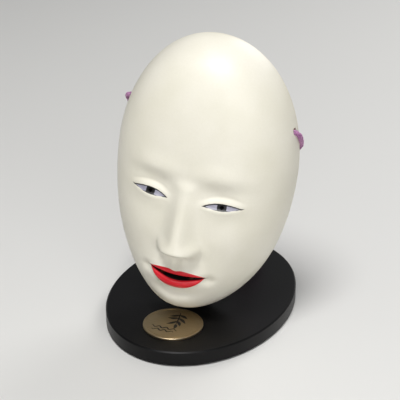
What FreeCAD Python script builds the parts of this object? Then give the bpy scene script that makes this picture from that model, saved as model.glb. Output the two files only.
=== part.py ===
import FreeCAD, Part
import math
import os

# A carved noh mask on a display stand, in millimetres.
# Row frame: +Z up, -Y is the front, the origin is the centre of the base's underside.
# Mask frame: x to the side, y backwards, z up the mask, origin in the middle of the rim plane.

V = FreeCAD.Vector
os.makedirs("parts", exist_ok=True)

# ---------------------------------------------------------------- driving dimensions
# mask
MASK_HEIGHT = 211.0
MASK_WIDTH = 136.0
DOME_DEPTH = 50.0            # rim plane to forehead, without the nose
WIDEST_ABOVE_MIDDLE = 12.0
COAT = 1.0                   # gesso skin over the wood
BARE_RIM = 1.2               # strip of wood left bare behind the coat
RIM_WALL = 9.0               # width of the wooden rim
CROWN_WALL = 11.0            # wood above and below the hollow
FACE_WALL = 12.0             # wood behind the forehead
NOSE_RECESS = 6.0            # extra depth of the hollow behind the nose
PUPIL_WIDTH = 7.0
MOUTH_WIDTH = 30.0
MOUTH_OPEN = 3.4
NOSTRIL = 4.0
# how the mask sits on its stand
MASK_SIDE = 6.9              # middle of the mask's rim plane, from the board's middle
MASK_FORWARD = 6.9
MASK_OVER_BOARD = 2.4
LEAN_BACK = 3.1
TURN = 3.6
SIDE_TILT = 6.0
# base
BASE_LENGTH = 188.0          # along Y
BASE_WIDTH = 139.4           # along X
BOARD = 11.0
FELT = 1.2
FELT_INSET = 4.0
EDGE_CHAMFER = 1.0
# plaque
PLAQUE_DIAMETER = 45.0
PLAQUE = 1.5
PLAQUE_FORWARD = 56.9
TAPE = 0.3
TAPE_INSET = 2.0
# post and ball head
POST_BACK = 8.0
POST_DIAMETER = 9.0
FLANGE_DIAMETER = 28.0
FLANGE = 4.0
BALL_DIAMETER = 16.0
BALL_OVER_BOARD = 47.8
NECK_DIAMETER = 7.0
SCREW_DIAMETER = 4.0
FLANGE_SCREW_RING = 20.0
CHEEK_WIDTH = 24.0
CHEEK_GAP = 1.0
KNOB_DIAMETER = 18.0
KNOB_DEPTH = 11.0
# hanger
SPINE_WIDTH = 14.0
SPINE = 3.0
SPINE_DEPTH = 5.0            # spine's back face, in front of the rim plane
BOW_HEIGHT = 58.0            # cross-piece of the bow, up the mask
BOW_DIAMETER = 5.0
TIP_SPREAD = 48.0
TIP_DEPTH = 16.0
TIP_DIAMETER = 8.0
PAD_HEIGHT = -34.0
PAD_DIAMETER = 16.0
PAD = 5.0
REST_HEIGHT = 0.0
REST_BACK = 30.0
REST_DIAMETER = 6.0
REST_LENGTH = 44.0
# cords
CORD = 4.2
CORD_HOLE = 5.4
CORD_HOLE_HEIGHT = 48.0
CORD_HOLE_DEPTH = 8.0
COIL_RADIUS = 22.0           # middle of the coil's turns
COIL_PLACE = (1.0, 60.0)
KNOT_DIAMETER = 9.0
# clearances
RUNNING = 0.05
TOUCH = 0.3
FREE = 0.6

BOARD_TOP = FELT + BOARD
BALL_HEIGHT = BOARD_TOP + BALL_OVER_BOARD
MASK_CENTRE = V(MASK_SIDE, -MASK_FORWARD, BOARD_TOP + MASK_OVER_BOARD + MASK_HEIGHT / 2.0)


# ---------------------------------------------------------------- small helpers
def ramp(low, high, value):
    """0 below low, 1 above high, smooth between them."""
    share = min(1.0, max(0.0, (value - low) / (high - low)))
    return share * share * (3.0 - 2.0 * share)


def hill(x, z, place, reach):
    """A round hill of height 1 at place, with reach to the side and up."""
    return math.exp(-((x - place[0]) / reach[0]) ** 2 - ((z - place[1]) / reach[1]) ** 2)


def mask_placement():
    """Where the mask frame sits in the row frame: leaned back, tilted, then turned."""
    lean = FreeCAD.Rotation(V(1, 0, 0), -LEAN_BACK)
    tilt = FreeCAD.Rotation(V(0, 1, 0), SIDE_TILT)
    turn = FreeCAD.Rotation(V(0, 0, 1), TURN)
    return FreeCAD.Placement(MASK_CENTRE, turn.multiply(tilt).multiply(lean))


PLACE = mask_placement()
INTO_MASK = PLACE.inverse()


def placed(shape):
    """A solid built in the mask frame, moved to the row frame."""
    moved = shape.copy()
    moved.transformShape(PLACE.toMatrix(), True)
    return moved


def save(name, shape):
    shape.exportStep("parts/" + name + ".step")
    kind = "solids %d" % len(shape.Solids)
    print("%-18s %9.0f mm3  %s  valid %s" % (name, shape.Volume, kind, shape.isValid()))


def rod(start, end, diameter):
    """A round bar from start to end."""
    way = end - start
    return Part.makeCylinder(diameter / 2.0, way.Length, start, way)


def block(low, high):
    return Part.makeBox(high.x - low.x, high.y - low.y, high.z - low.z, low)


def level_edges(shape, height):
    """The edges that lie flat at this height."""
    boxes = [(e, e.BoundBox) for e in shape.Edges]
    return [e for e, box in boxes if box.ZLength < 1e-6 and abs(box.ZMin - height) < 1e-6]


def oval(half_x, half_y, low, high):
    """An upright oval plate, longer along Y."""
    curve = Part.Ellipse(V(0, 0, low), half_y, half_x)
    curve.rotate(FreeCAD.Placement(V(0, 0, 0), FreeCAD.Rotation(V(0, 0, 1), 90)))
    face = Part.Face(Part.Wire(curve.toShape()))
    return face.extrude(V(0, 0, high - low))


# ---------------------------------------------------------------- mask surface
# The face follows the usual drawing canon on a field 136 wide and 211 high, scaled to the mask.
FIELD_WIDTH = 136.0
FIELD_HEIGHT = 211.0
BROW = 15.0
EYE_LINE = -6.0
NOSE_BASE = -47.0
MOUTH_LINE = -66.5
CHIN = -90.0
EYE_MIDDLE = 27.0


class Dome:
    """An egg-shaped dome on the rim plane, from which the face is raised or the back is hollowed."""

    def __init__(self, side, crown, front, chin_drop, back):
        self.half = MASK_WIDTH / 2.0 - side
        self.up = MASK_HEIGHT / 2.0 - WIDEST_ABOVE_MIDDLE - crown
        self.down = MASK_HEIGHT / 2.0 + WIDEST_ABOVE_MIDDLE - crown
        self.front = DOME_DEPTH - front + back
        self.chin_drop = chin_drop
        self.back = back

    def share(self, z):
        """Squared share of the way from the widest level to the pole."""
        rise = z - WIDEST_ABOVE_MIDDLE
        return min(1.0, (rise / (self.up if rise > 0 else self.down)) ** 2)

    def level(self, v):
        reach = self.up if v > 0 else self.down
        return WIDEST_ABOVE_MIDDLE + reach * math.sin(math.pi * v / 2.0)

    def half_width(self, z):
        t = self.share(z)
        if z > WIDEST_ABOVE_MIDDLE:
            return self.half * math.sqrt(max(0.0, 1.0 - 0.93 * t - 0.07 * t * t))
        taper = 1.0 - 0.13 * t * t
        return self.half * taper * math.sqrt(max(0.0, 1.0 - 0.86 * t - 0.14 * t ** 4))

    def crest(self, z):
        t = self.share(z)
        if z > WIDEST_ABOVE_MIDDLE:
            return self.front * math.sqrt(max(0.0, 1.0 - 0.70 * t - 0.30 * t * t))
        fall = max(0.0, 1.0 - 0.04 * t - 0.96 * t ** 7)
        return (self.front - self.chin_drop * t) * math.sqrt(fall)

    def depth(self, x, z):
        """How far the dome stands in front of the rim plane."""
        width = max(1e-6, self.half_width(z))
        s = min(1.0, (x / width) ** 2)
        return self.crest(z) * math.sqrt(max(0.0, 1.0 - 0.72 * s - 0.28 * s * s)) - self.back


def nose(a, z):
    """The ridge of the nose, from between the brows to its base."""
    share = min(1.0, max(0.0, (8.0 - z) / 49.0))
    height = 3.0 * ramp(12.0, 2.0, z) + 14.5 * share ** 1.25
    height *= 1.0 - ramp(-42.0, -51.5, z)
    width = 7.2 + 3.6 * share * share
    return height * math.exp(-(a / width) ** 2.2)


def face_relief(x, z):
    """Height of the face's forms over the dome, by the canon's levels."""
    a = abs(x) * FIELD_WIDTH / MASK_WIDTH
    z = z * FIELD_HEIGHT / MASK_HEIGHT
    h = 2.2 * hill(a, z, (25, BROW), (19, 8))
    h -= 5.2 * hill(a, z, (23, 0), (13, 9.5))
    h += 4.2 * hill(a, z, (EYE_MIDDLE, EYE_LINE + 0.5), (14, 8))
    h += 3.4 * hill(a, z, (36, -33), (19, 19))
    h += nose(a, z)
    h += 6.0 * hill(a, z, (11, NOSE_BASE + 3), (4.6, 5.6))
    h += 4.6 * hill(a, z, (0, MOUTH_LINE), (27, 17))
    h += 1.9 * hill(a, z, (0, MOUTH_LINE + 5), (16, 3.4))
    h += 2.5 * hill(a, z, (0, MOUTH_LINE - 5), (13, 4))
    h -= 1.6 * hill(a, z, (0, MOUTH_LINE), (19, 1.8))
    h -= 1.8 * hill(a, z, (23.5, MOUTH_LINE), (4, 4))
    h -= 0.9 * hill(a, z, (0, NOSE_BASE - 7.5), (2.8, 5))
    h -= 2.0 * hill(a, z, (0, MOUTH_LINE - 13.5), (15, 4))
    h += 5.0 * hill(a, z, (0, CHIN), (17, 10))
    return h


def front_point(dome, u, v, relief):
    """A point of the surface: u runs from side to side, v from chin to crown."""
    z = dome.level(v)
    side = math.sin(math.pi * u / 2.0)
    x = dome.half_width(z) * side
    y = -dome.depth(x, z)
    fade = max(0.0, math.cos(math.pi * u / 2.0)) ** 0.6 * min(1.0, dome.crest(z) / 30.0)
    return V(x, y - relief(x, z) * fade, z)


def smooth_surface(grid):
    """A cubic surface over a grid of poles, whose border follows the grid's border."""
    def knots(count):
        inner = count - 2
        return [4] + [1] * (inner - 2) + [4], [k / (inner - 1.0) for k in range(inner)]

    u_mults, u_knots = knots(len(grid))
    v_mults, v_knots = knots(len(grid[0]))
    surface = Part.BSplineSurface()
    surface.buildFromPolesMultsKnots(grid, u_mults, v_mults, u_knots, v_knots, False, False, 3, 3)
    return surface


def dome_solid(dome, relief, columns, rows):
    """A closed solid between the surface and its flat back."""
    pole = 0.985
    grid = []
    for i in range(columns):
        u = -1.0 + 2.0 * i / (columns - 1)
        line = [front_point(dome, u, pole * (2.0 * j / (rows - 1) - 1.0), relief) for j in range(rows)]
        if i in (0, columns - 1):
            line = [V(p.x, dome.back, p.z) for p in line]
        grid.append(line)
    surface = smooth_surface(grid)
    front = surface.toShape()
    corners = [grid[0][0], grid[-1][0], grid[0][-1], grid[-1][-1]]
    low_line = Part.LineSegment(corners[0], corners[1]).toShape()
    high_line = Part.LineSegment(corners[2], corners[3]).toShape()
    low_edge = surface.vIso(surface.bounds()[2]).toShape()
    high_edge = surface.vIso(surface.bounds()[3]).toShape()
    left_edge = surface.uIso(surface.bounds()[0]).toShape()
    right_edge = surface.uIso(surface.bounds()[1]).toShape()
    back = Part.Face(Part.Wire(Part.__sortEdges__([low_line, right_edge, high_line, left_edge])))
    low_cap = Part.Face(Part.Wire(Part.__sortEdges__([low_line, low_edge])))
    high_cap = Part.Face(Part.Wire(Part.__sortEdges__([high_line, high_edge])))
    shell = Part.makeShell([front, back, low_cap, high_cap])
    shell.sewShape()
    solid = Part.makeSolid(Part.Shell(shell.Faces))
    if solid.Volume < 0:
        solid.reverse()
    return solid


def nose_recess(x, z):
    """The hollow follows the nose a little way in."""
    a = abs(x) * FIELD_WIDTH / MASK_WIDTH
    z = z * FIELD_HEIGHT / MASK_HEIGHT
    return NOSE_RECESS * hill(a, z, (0, -34), (9, 16))


OUTER = Dome(0.0, 0.0, 0.0, 7.0, 0.0)
WOOD = Dome(COAT, COAT, COAT, 7.0, 0.0)
HOLLOW = Dome(RIM_WALL, CROWN_WALL, FACE_WALL, 0.0, 3.0)


# ---------------------------------------------------------------- mask pieces
def eye_cutters():
    """Upright oval openings through which the wearer looks."""
    cuts = []
    scale_x = MASK_WIDTH / FIELD_WIDTH
    level = EYE_LINE * MASK_HEIGHT / FIELD_HEIGHT
    for side in (-1, 1):
        middle = V(side * EYE_MIDDLE * scale_x, 0, level)
        cuts.append(rod(middle + V(0, 5, 0), middle + V(0, -2 * DOME_DEPTH, 0), PUPIL_WIDTH))
    return cuts


def mouth_cutter():
    """A slot with round ends between the lips."""
    level = MOUTH_LINE * MASK_HEIGHT / FIELD_HEIGHT
    reach = MOUTH_WIDTH / 2.0 - MOUTH_OPEN / 2.0
    low = V(-reach, -2 * DOME_DEPTH, level - MOUTH_OPEN / 2.0)
    bar = block(low, V(reach, 5, level + MOUTH_OPEN / 2.0))
    for side in (-1, 1):
        end = V(side * reach, 5, level)
        bar = bar.fuse(rod(end, end + V(0, -2 * DOME_DEPTH, 0), MOUTH_OPEN))
    return bar


def nostril_cutters():
    """Short slanting bores up into the nose."""
    cuts = []
    level = NOSE_BASE * MASK_HEIGHT / FIELD_HEIGHT
    for side in (-1, 1):
        foot = V(side * 6.5, -DOME_DEPTH - 16, level - 7.0)
        cuts.append(rod(foot, foot + V(-side * 1.0, 8, 16), NOSTRIL))
    return cuts


def cord_hole_mouth(dome, side):
    """Where the cord hole opens on the mask's side wall."""
    low, high = 0.5 * dome.half, dome.half_width(CORD_HOLE_HEIGHT)
    for _ in range(40):
        x = (low + high) / 2.0
        if dome.depth(x, CORD_HOLE_HEIGHT) > CORD_HOLE_DEPTH:
            low = x
        else:
            high = x
    return V(side * low, -CORD_HOLE_DEPTH, CORD_HOLE_HEIGHT)


def cord_hole_cutters():
    cuts = []
    for side in (-1, 1):
        mouth = cord_hole_mouth(OUTER, side)
        cuts.append(rod(mouth + V(side * 6, 0, 0), mouth - V(side * 26, 0, 0), CORD_HOLE))
    return cuts


def mask_pieces():
    """The carved wooden shell and the gesso coat over its front."""
    outer = dome_solid(OUTER, face_relief, 71, 91)
    wood = dome_solid(WOOD, face_relief, 71, 91)
    hollow = dome_solid(HOLLOW, nose_recess, 31, 41)
    coat = outer.cut(wood)
    reach = MASK_HEIGHT
    bare = block(V(-reach, -BARE_RIM, -reach), V(reach, reach, reach))
    coat = coat.cut(bare)
    shell = wood.cut(hollow)
    cutters = eye_cutters() + [mouth_cutter()] + cord_hole_cutters()
    shell = shell.cut(Part.makeCompound(cutters + nostril_cutters()))
    coat = coat.cut(Part.makeCompound(cutters + nostril_cutters()))
    return shell, coat


# ---------------------------------------------------------------- base pieces
def post_axis_rod(low, high, diameter):
    return rod(V(0, POST_BACK, low), V(0, POST_BACK, high), diameter)


def flange_screw_places():
    places = []
    for k in range(3):
        turn = math.radians(90 + 120 * k)
        reach = FLANGE_SCREW_RING / 2.0
        places.append(V(reach * math.cos(turn), POST_BACK + reach * math.sin(turn), 0))
    return places


FLANGE_SCREW = 2.5           # shank; the head is twice as wide
SCREW_BITE = 7.0
HEAD_HEIGHT = 1.6
SLOT_DEPTH = 0.7
SLOT_WIDTH = 0.6
STUD_BITE = 9.0              # how far the ball stud is screwed into the post
NECK_LENGTH = 10.0           # between the post's top and the ball


def base_pieces():
    """Oval board on felt, with the plaque stuck on it and the post standing on a flange."""
    half_x, half_y = BASE_WIDTH / 2.0, BASE_LENGTH / 2.0
    board = oval(half_x, half_y, FELT, BOARD_TOP)
    board = board.makeChamfer(EDGE_CHAMFER, level_edges(board, BOARD_TOP)[:1])
    for place in flange_screw_places():
        hole = rod(place + V(0, 0, BOARD_TOP - SCREW_BITE), place + V(0, 0, BOARD_TOP + 1), FLANGE_SCREW)
        board = board.cut(hole)
    save("base_board", board)
    save("felt_underlay", oval(half_x - FELT_INSET, half_y - FELT_INSET, 0, FELT))
    centre = V(0, -PLAQUE_FORWARD, BOARD_TOP)
    save("plaque_tape", rod(centre, centre + V(0, 0, TAPE), PLAQUE_DIAMETER - 2 * TAPE_INSET))
    plaque = rod(centre + V(0, 0, TAPE), centre + V(0, 0, TAPE + PLAQUE), PLAQUE_DIAMETER)
    rims = level_edges(plaque, BOARD_TOP + TAPE + PLAQUE)
    save("round_plaque", plaque.makeChamfer(PLAQUE / 5.0, rims))


def stand_pieces():
    """Flange, its screws, the post and the ball stud on top of it."""
    top = BOARD_TOP + FLANGE
    flange = post_axis_rod(BOARD_TOP, top, FLANGE_DIAMETER)
    flange = flange.cut(post_axis_rod(BOARD_TOP, top + 1, POST_DIAMETER))
    heads = []
    for place in flange_screw_places():
        flange = flange.cut(rod(place + V(0, 0, BOARD_TOP - 1), place + V(0, 0, top + 1), FLANGE_SCREW))
        shank_foot = place + V(0, 0, BOARD_TOP - SCREW_BITE + 1)
        shank = rod(shank_foot, place + V(0, 0, top), FLANGE_SCREW - 2 * RUNNING)
        head_top = top + HEAD_HEIGHT
        head = rod(place + V(0, 0, top), place + V(0, 0, head_top), 2 * FLANGE_SCREW)
        slot_low = place + V(-2 * FLANGE_SCREW, -SLOT_WIDTH / 2.0, head_top - SLOT_DEPTH)
        slot_high = place + V(2 * FLANGE_SCREW, SLOT_WIDTH / 2.0, head_top + 1)
        heads.append(shank.fuse(head).cut(block(slot_low, slot_high)))
    save("post_flange", flange)
    save("flange_screws", Part.makeCompound(heads))
    neck_foot = BALL_HEIGHT - BALL_DIAMETER / 2.0 - NECK_LENGTH
    post = post_axis_rod(BOARD_TOP, neck_foot, POST_DIAMETER - 2 * RUNNING)
    post = post.cut(post_axis_rod(neck_foot - STUD_BITE, neck_foot + 1, SCREW_DIAMETER))
    save("post", post)
    ball = Part.makeSphere(BALL_DIAMETER / 2.0, V(0, POST_BACK, BALL_HEIGHT))
    neck = post_axis_rod(neck_foot, BALL_HEIGHT, NECK_DIAMETER)
    bite = post_axis_rod(neck_foot - STUD_BITE + 1, neck_foot, SCREW_DIAMETER - 2 * RUNNING)
    save("ball_stud", ball.fuse(neck).fuse(bite))


# ---------------------------------------------------------------- hanger pieces
BALL = INTO_MASK.multVec(V(0, POST_BACK, BALL_HEIGHT))
CHEEK_WALL = 3.0
NUT_SIZE = 7.0
NUT_THICKNESS = 4.0
CLAMP_RISE = BALL_DIAMETER / 2.0 + NUT_SIZE / 2.0 + CHEEK_WALL       # clamp screw above the ball
CHEEK_HALF = BALL_DIAMETER / 2.0 + CHEEK_WALL
CHEEK_TOP = CLAMP_RISE + NUT_SIZE / 2.0 + 2.0
ARM_HALF = 5.0               # half the height of the arm between the clamp and the spine
NECK_PLAY = 1.5              # room round the ball's neck


def clamp_pieces():
    """Two cheeks squeezed round the ball by the knob's screw."""
    low = BALL + V(-CHEEK_WIDTH / 2.0, -CHEEK_HALF, -BALL_DIAMETER / 2.0 + 1.0)
    high = BALL + V(CHEEK_WIDTH / 2.0, CHEEK_HALF, CHEEK_TOP)
    split_front = BALL.y - CHEEK_GAP / 2.0
    split_back = BALL.y + CHEEK_GAP / 2.0
    front = block(low, V(high.x, split_front, high.z))
    rear = block(V(low.x, split_back, low.z), high)
    arm_low = V(-SPINE_WIDTH / 2.0, -SPINE_DEPTH, BALL.z - ARM_HALF)
    front = front.fuse(block(arm_low, V(SPINE_WIDTH / 2.0, low.y, BALL.z + ARM_HALF)))
    screw_at = BALL + V(0, 0, CLAMP_RISE)
    sphere = Part.makeSphere(BALL_DIAMETER / 2.0 + RUNNING, BALL)
    down = INTO_MASK.Rotation.multVec(V(0, 0, -1))
    neck_room = Part.makeCylinder(NECK_DIAMETER / 2.0 + NECK_PLAY, BALL_DIAMETER, BALL, down)
    bore = rod(screw_at + V(0, -CHEEK_HALF - 1, 0), screw_at + V(0, CHEEK_HALF + 1, 0), SCREW_DIAMETER)
    pocket = block(
        screw_at + V(-NUT_SIZE / 2.0 - RUNNING, -CHEEK_HALF - 1, -NUT_SIZE / 2.0 - RUNNING),
        screw_at + V(NUT_SIZE / 2.0 + RUNNING, -CHEEK_HALF + NUT_THICKNESS, NUT_SIZE / 2.0 + RUNNING),
    )
    for name, cheek in (("clamp_front", front.cut(pocket)), ("clamp_rear", rear)):
        cheek = cheek.cut(sphere).cut(neck_room).cut(bore)
        save(name, placed(cheek.removeSplitter()))
    nut = block(
        screw_at + V(-NUT_SIZE / 2.0, -CHEEK_HALF, -NUT_SIZE / 2.0),
        screw_at + V(NUT_SIZE / 2.0, -CHEEK_HALF + NUT_THICKNESS - RUNNING, NUT_SIZE / 2.0),
    )
    save("clamp_nut", placed(nut.cut(bore)))
    return screw_at


WASHER = 1.0
FLUTES = 8
SCREW_IN_KNOB = 0.6 * KNOB_DEPTH


def knob_pieces(screw_at):
    """The fluted knob with its moulded-in screw and the washer under it."""
    face = screw_at + V(0, CHEEK_HALF, 0)
    ring = rod(face + V(0, TOUCH / 3, 0), face + V(0, WASHER, 0), 2.4 * SCREW_DIAMETER)
    bore = rod(face - V(0, 1, 0), face + V(0, WASHER + 1, 0), SCREW_DIAMETER + 2 * RUNNING)
    save("knob_washer", placed(ring.cut(bore)))
    start = face + V(0, WASHER + TOUCH / 3, 0)
    grip = rod(start, start + V(0, KNOB_DEPTH, 0), KNOB_DIAMETER)
    reach = KNOB_DIAMETER / 2.0 + KNOB_DIAMETER / 22.5
    for k in range(FLUTES):
        turn = 2.0 * math.pi * k / FLUTES
        place = start + V(reach * math.cos(turn), -1, reach * math.sin(turn))
        grip = grip.cut(rod(place, place + V(0, KNOB_DEPTH + 2, 0), KNOB_DIAMETER / 5.0))
    seat = rod(start, start + V(0, SCREW_IN_KNOB, 0), SCREW_DIAMETER)
    save("knob_grip", placed(grip.cut(seat)))
    tip = screw_at + V(0, -CHEEK_HALF + 0.5, 0)
    screw = rod(tip, start + V(0, SCREW_IN_KNOB, 0), SCREW_DIAMETER - 2 * RUNNING)
    save("knob_screw", placed(screw))


def clearance(x, y, z):
    """Distance from a point inside the hollow to the hollow's wall."""
    step = 0.05

    def gap(px, py, pz):
        return HOLLOW.depth(px, pz) + py

    here = gap(x, y, z)
    slope = V(
        (gap(x + step, y, z) - here) / step,
        (gap(x, y + step, z) - here) / step,
        (gap(x, y, z + step) - here) / step,
    )
    return here / slope.Length


def tip_height(x, y):
    """Height at which a round tip just clears the crown's inner wall."""
    low, high = BOW_HEIGHT, MASK_HEIGHT / 2.0 - CROWN_WALL - 1.0
    for _ in range(40):
        z = (low + high) / 2.0
        inside = abs(x) < HOLLOW.half_width(z) and HOLLOW.depth(x, z) + y > 0
        if inside and clearance(x, y, z) > TIP_DIAMETER / 2.0 + FREE:
            low = z
        else:
            high = z
    return low


def bow(half, y, foot, top, bend):
    """A rod bent up at both ends, which goes under the mask's forehead."""
    k = bend * (1.0 - math.sqrt(0.5))
    edges = [
        Part.LineSegment(V(-half, y, top), V(-half, y, foot + bend)),
        Part.Arc(V(-half, y, foot + bend), V(-half + k, y, foot + k), V(-half + bend, y, foot)),
        Part.LineSegment(V(-half + bend, y, foot), V(half - bend, y, foot)),
        Part.Arc(V(half - bend, y, foot), V(half - k, y, foot + k), V(half, y, foot + bend)),
        Part.LineSegment(V(half, y, foot + bend), V(half, y, top)),
    ]
    path = Part.Wire([e.toShape() for e in edges])
    ring = Part.Wire(Part.Circle(V(-half, y, top), V(0, 0, 1), BOW_DIAMETER / 2.0).toShape())
    return path.makePipeShell([ring], True, True)


BOLT = 3.0
BOLT_HEAD = 2.0
BOLT_HEAD_WIDTH = 5.5
SADDLE_ABOVE = 8.0           # saddle's reach above and below the bow's cross-piece
SADDLE_BELOW = 9.0
SADDLE_WALL = 2.0
SADDLE_SCREW_BITE = 4.5
BOW_BEND = 8.0
TIP_SEAT = 6.0               # how far a rubber tip comes down over the bow's end
TIP_CAP = 1.0
STEM_DIAMETER = 5.0
STEM_BITE = 2.0
REST_BUTTON_DIAMETER = 9.6


def hanger_pieces():
    """Spine, bow with rubber tips, the padded stop and the rest for the cords."""
    spine_front = -SPINE_DEPTH - SPINE
    half_spine = SPINE_WIDTH / 2.0
    low = V(-half_spine, spine_front, BALL.z - ARM_HALF)
    spine = block(low, V(half_spine, -SPINE_DEPTH, BOW_HEIGHT + SADDLE_ABOVE))
    bolt_places = [V(0, 0, BOW_HEIGHT - SADDLE_BELOW + BOLT), V(0, 0, BOW_HEIGHT + SADDLE_ABOVE - 2.5)]
    arm_bolt = V(0, 0, BALL.z)
    bow_y = -TIP_DEPTH
    saddle_front = bow_y - BOW_DIAMETER / 2.0 - SADDLE_WALL
    saddle_foot = V(-half_spine, saddle_front, BOW_HEIGHT - SADDLE_BELOW)
    saddle = block(saddle_foot, V(half_spine, spine_front, BOW_HEIGHT + SADDLE_ABOVE))
    bow_end = V(SPINE_WIDTH, bow_y, BOW_HEIGHT)
    saddle = saddle.cut(rod(bow_end - V(2 * SPINE_WIDTH, 0, 0), bow_end, BOW_DIAMETER + 2 * RUNNING))
    screws = []
    for place in bolt_places:
        at = V(0, -SPINE_DEPTH, place.z)
        hole = rod(at + V(0, 1, 0), at + V(0, -SPINE - SADDLE_SCREW_BITE - 0.5, 0), BOLT)
        spine = spine.cut(hole)
        saddle = saddle.cut(hole)
        shank = rod(at, at + V(0, -SPINE - SADDLE_SCREW_BITE, 0), BOLT - 2 * RUNNING)
        screws.append(shank.fuse(rod(at, at + V(0, BOLT_HEAD, 0), BOLT_HEAD_WIDTH)))
    save("saddle_screws", placed(Part.makeCompound(screws)))
    save("bow_saddle", placed(saddle))
    half = TIP_SPREAD / 2.0
    tip_z = tip_height(half, bow_y)
    save("hanger_bow", placed(bow(half, bow_y, BOW_HEIGHT, tip_z - TIP_CAP, BOW_BEND)))
    for name, side in (("left_tip", 1), ("right_tip", -1)):
        at = V(side * half, bow_y, tip_z)
        tip = Part.makeSphere(TIP_DIAMETER / 2.0, at).fuse(rod(at - V(0, 0, TIP_SEAT), at, TIP_DIAMETER))
        save(name, placed(tip.cut(rod(at - V(0, 0, TIP_SEAT + 1), at - V(0, 0, TIP_CAP), BOW_DIAMETER))))
    # padded stop inside the face
    pad_level = PAD_HEIGHT
    reach = PAD_DIAMETER / 2.0
    around = [math.pi * k / 8.0 for k in range(16)]
    walls = [HOLLOW.depth(reach * math.cos(t), pad_level + reach * math.sin(t)) for t in around]
    pad_front = min(walls) - TOUCH
    stem_end = V(0, -pad_front + PAD - STEM_BITE, pad_level)
    stem = rod(V(0, -SPINE_DEPTH, pad_level), stem_end, STEM_DIAMETER)
    stem_back = V(0, 1 - SPINE_DEPTH, pad_level)
    spine = spine.cut(rod(stem_back, V(0, spine_front - 1, pad_level), STEM_DIAMETER))
    save("pad_stem", placed(stem))
    pad = rod(V(0, -pad_front + PAD, pad_level), V(0, -pad_front, pad_level), PAD_DIAMETER)
    rims = [e for e in pad.Edges if e.BoundBox.YLength < 1e-6 and abs(e.BoundBox.YMin + pad_front) < 1e-6]
    pad = pad.makeFillet(PAD / 4.0, rims)
    save("stop_pad", placed(pad.cut(stem)))
    # rest for the cords, behind the rim plane
    bar_at = V(0, REST_BACK, REST_HEIGHT)
    strut = rod(V(0, spine_front, REST_HEIGHT), bar_at, STEM_DIAMETER)
    spine = spine.cut(strut)
    bar = rod(bar_at - V(REST_LENGTH / 2.0, 0, 0), bar_at + V(REST_LENGTH / 2.0, 0, 0), REST_DIAMETER)
    for side in (-1, 1):
        bar_end = bar_at + V(side * REST_LENGTH / 2.0, 0, 0)
        bar = bar.fuse(Part.makeSphere(REST_BUTTON_DIAMETER / 2.0, bar_end))
    save("cord_rest", placed(bar.cut(strut)))
    save("rest_strut", placed(strut))
    # the spine is bolted to the front cheek's arm
    bolt = rod(arm_bolt + V(0, -SPINE_DEPTH, 0), arm_bolt + V(0, spine_front, 0), BOLT)
    head_end = arm_bolt + V(0, spine_front - BOLT_HEAD, 0)
    head = rod(arm_bolt + V(0, spine_front, 0), head_end, BOLT_HEAD_WIDTH)
    spine = spine.cut(bolt)
    save("spine_bolt", placed(bolt.fuse(head)))
    save("hanger_spine", placed(spine))


# ---------------------------------------------------------------- cords
# Routes in the row frame, from the stopper knot inside the wall to the coil on the board.
LEFT_ROUTE = [
    (63.0, -9.0, 163.0), (78.5, -8.0, 161.4), (79.0, -1.5, 152.0), (75.5, 5.0, 143.5),
    (65.5, 10.5, 137.5), (52.0, 15.5, 133.0), (39.5, 19.5, 129.0), (27.5, 21.5, 127.5),
    (21.5, 24.0, 127.0), (19.0, 30.0, 124.0), (18.5, 32.5, 113.0), (19.0, 33.5, 92.0),
    (19.0, 35.0, 68.0), (19.5, 37.0, 46.0), (21.0, 42.0, 30.0), (24.0, 51.0, 23.4),
    (25.0, 59.0, 23.2),
]
RIGHT_ROUTE = [
    (-38.5, -15.0, 173.6), (-54.5, -16.2, 175.2), (-57.5, -10.0, 166.0), (-56.5, -3.0, 157.5),
    (-48.5, 3.5, 150.0), (-37.0, 10.0, 142.0), (-26.0, 15.5, 135.5), (-19.5, 18.5, 131.5),
    (-15.0, 22.0, 131.0), (-13.5, 28.5, 128.0), (-14.0, 31.5, 117.0), (-14.5, 33.0, 96.0),
    (-14.0, 34.0, 75.0), (-14.5, 33.5, 54.0), (-15.0, 34.0, 34.0), (-16.0, 36.5, 21.5),
    (-17.5, 43.0, 15.8), (-20.5, 51.0, 14.7), (-23.3, 59.5, 14.7),
]


def cord_path(points):
    """Straight runs joined by arcs that take nearly half of the shorter run beside each corner."""
    corners = [V(*p) for p in points]
    edges = []
    radii = []
    start = corners[0]
    for before, corner, after in zip(corners, corners[1:], corners[2:]):
        way_in = (corner - before).normalize()
        way_out = (after - corner).normalize()
        turn = way_in.getAngle(way_out)
        cut = 0.45 * min((corner - before).Length, (after - corner).Length)
        radius = cut / math.tan(turn / 2.0)
        radii.append(radius)
        enter = corner - way_in * cut
        leave = corner + way_out * cut
        inward = (way_out - way_in).normalize()
        middle = corner + inward * (radius / math.cos(turn / 2.0) - radius)
        edges.append(Part.LineSegment(start, enter).toShape())
        edges.append(Part.Arc(enter, middle, leave).toShape())
        start = leave
    edges.append(Part.LineSegment(start, corners[-1]).toShape())
    return Part.Wire(edges), radii


def cord_tube(name, points):
    path, radii = cord_path(points)
    first = V(*points[0])
    ring = Part.Wire(Part.Circle(first, V(*points[1]) - first, CORD / 2.0).toShape())
    tube = path.makePipeShell([ring], True, False)
    area = math.pi * CORD ** 2 / 4.0
    print("%s length %.1f, volume share %.4f" % (name, path.Length, tube.Volume / (area * path.Length)))
    print("  bend radii", " ".join("%.1f" % r for r in radii))
    save(name, tube)


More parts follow.
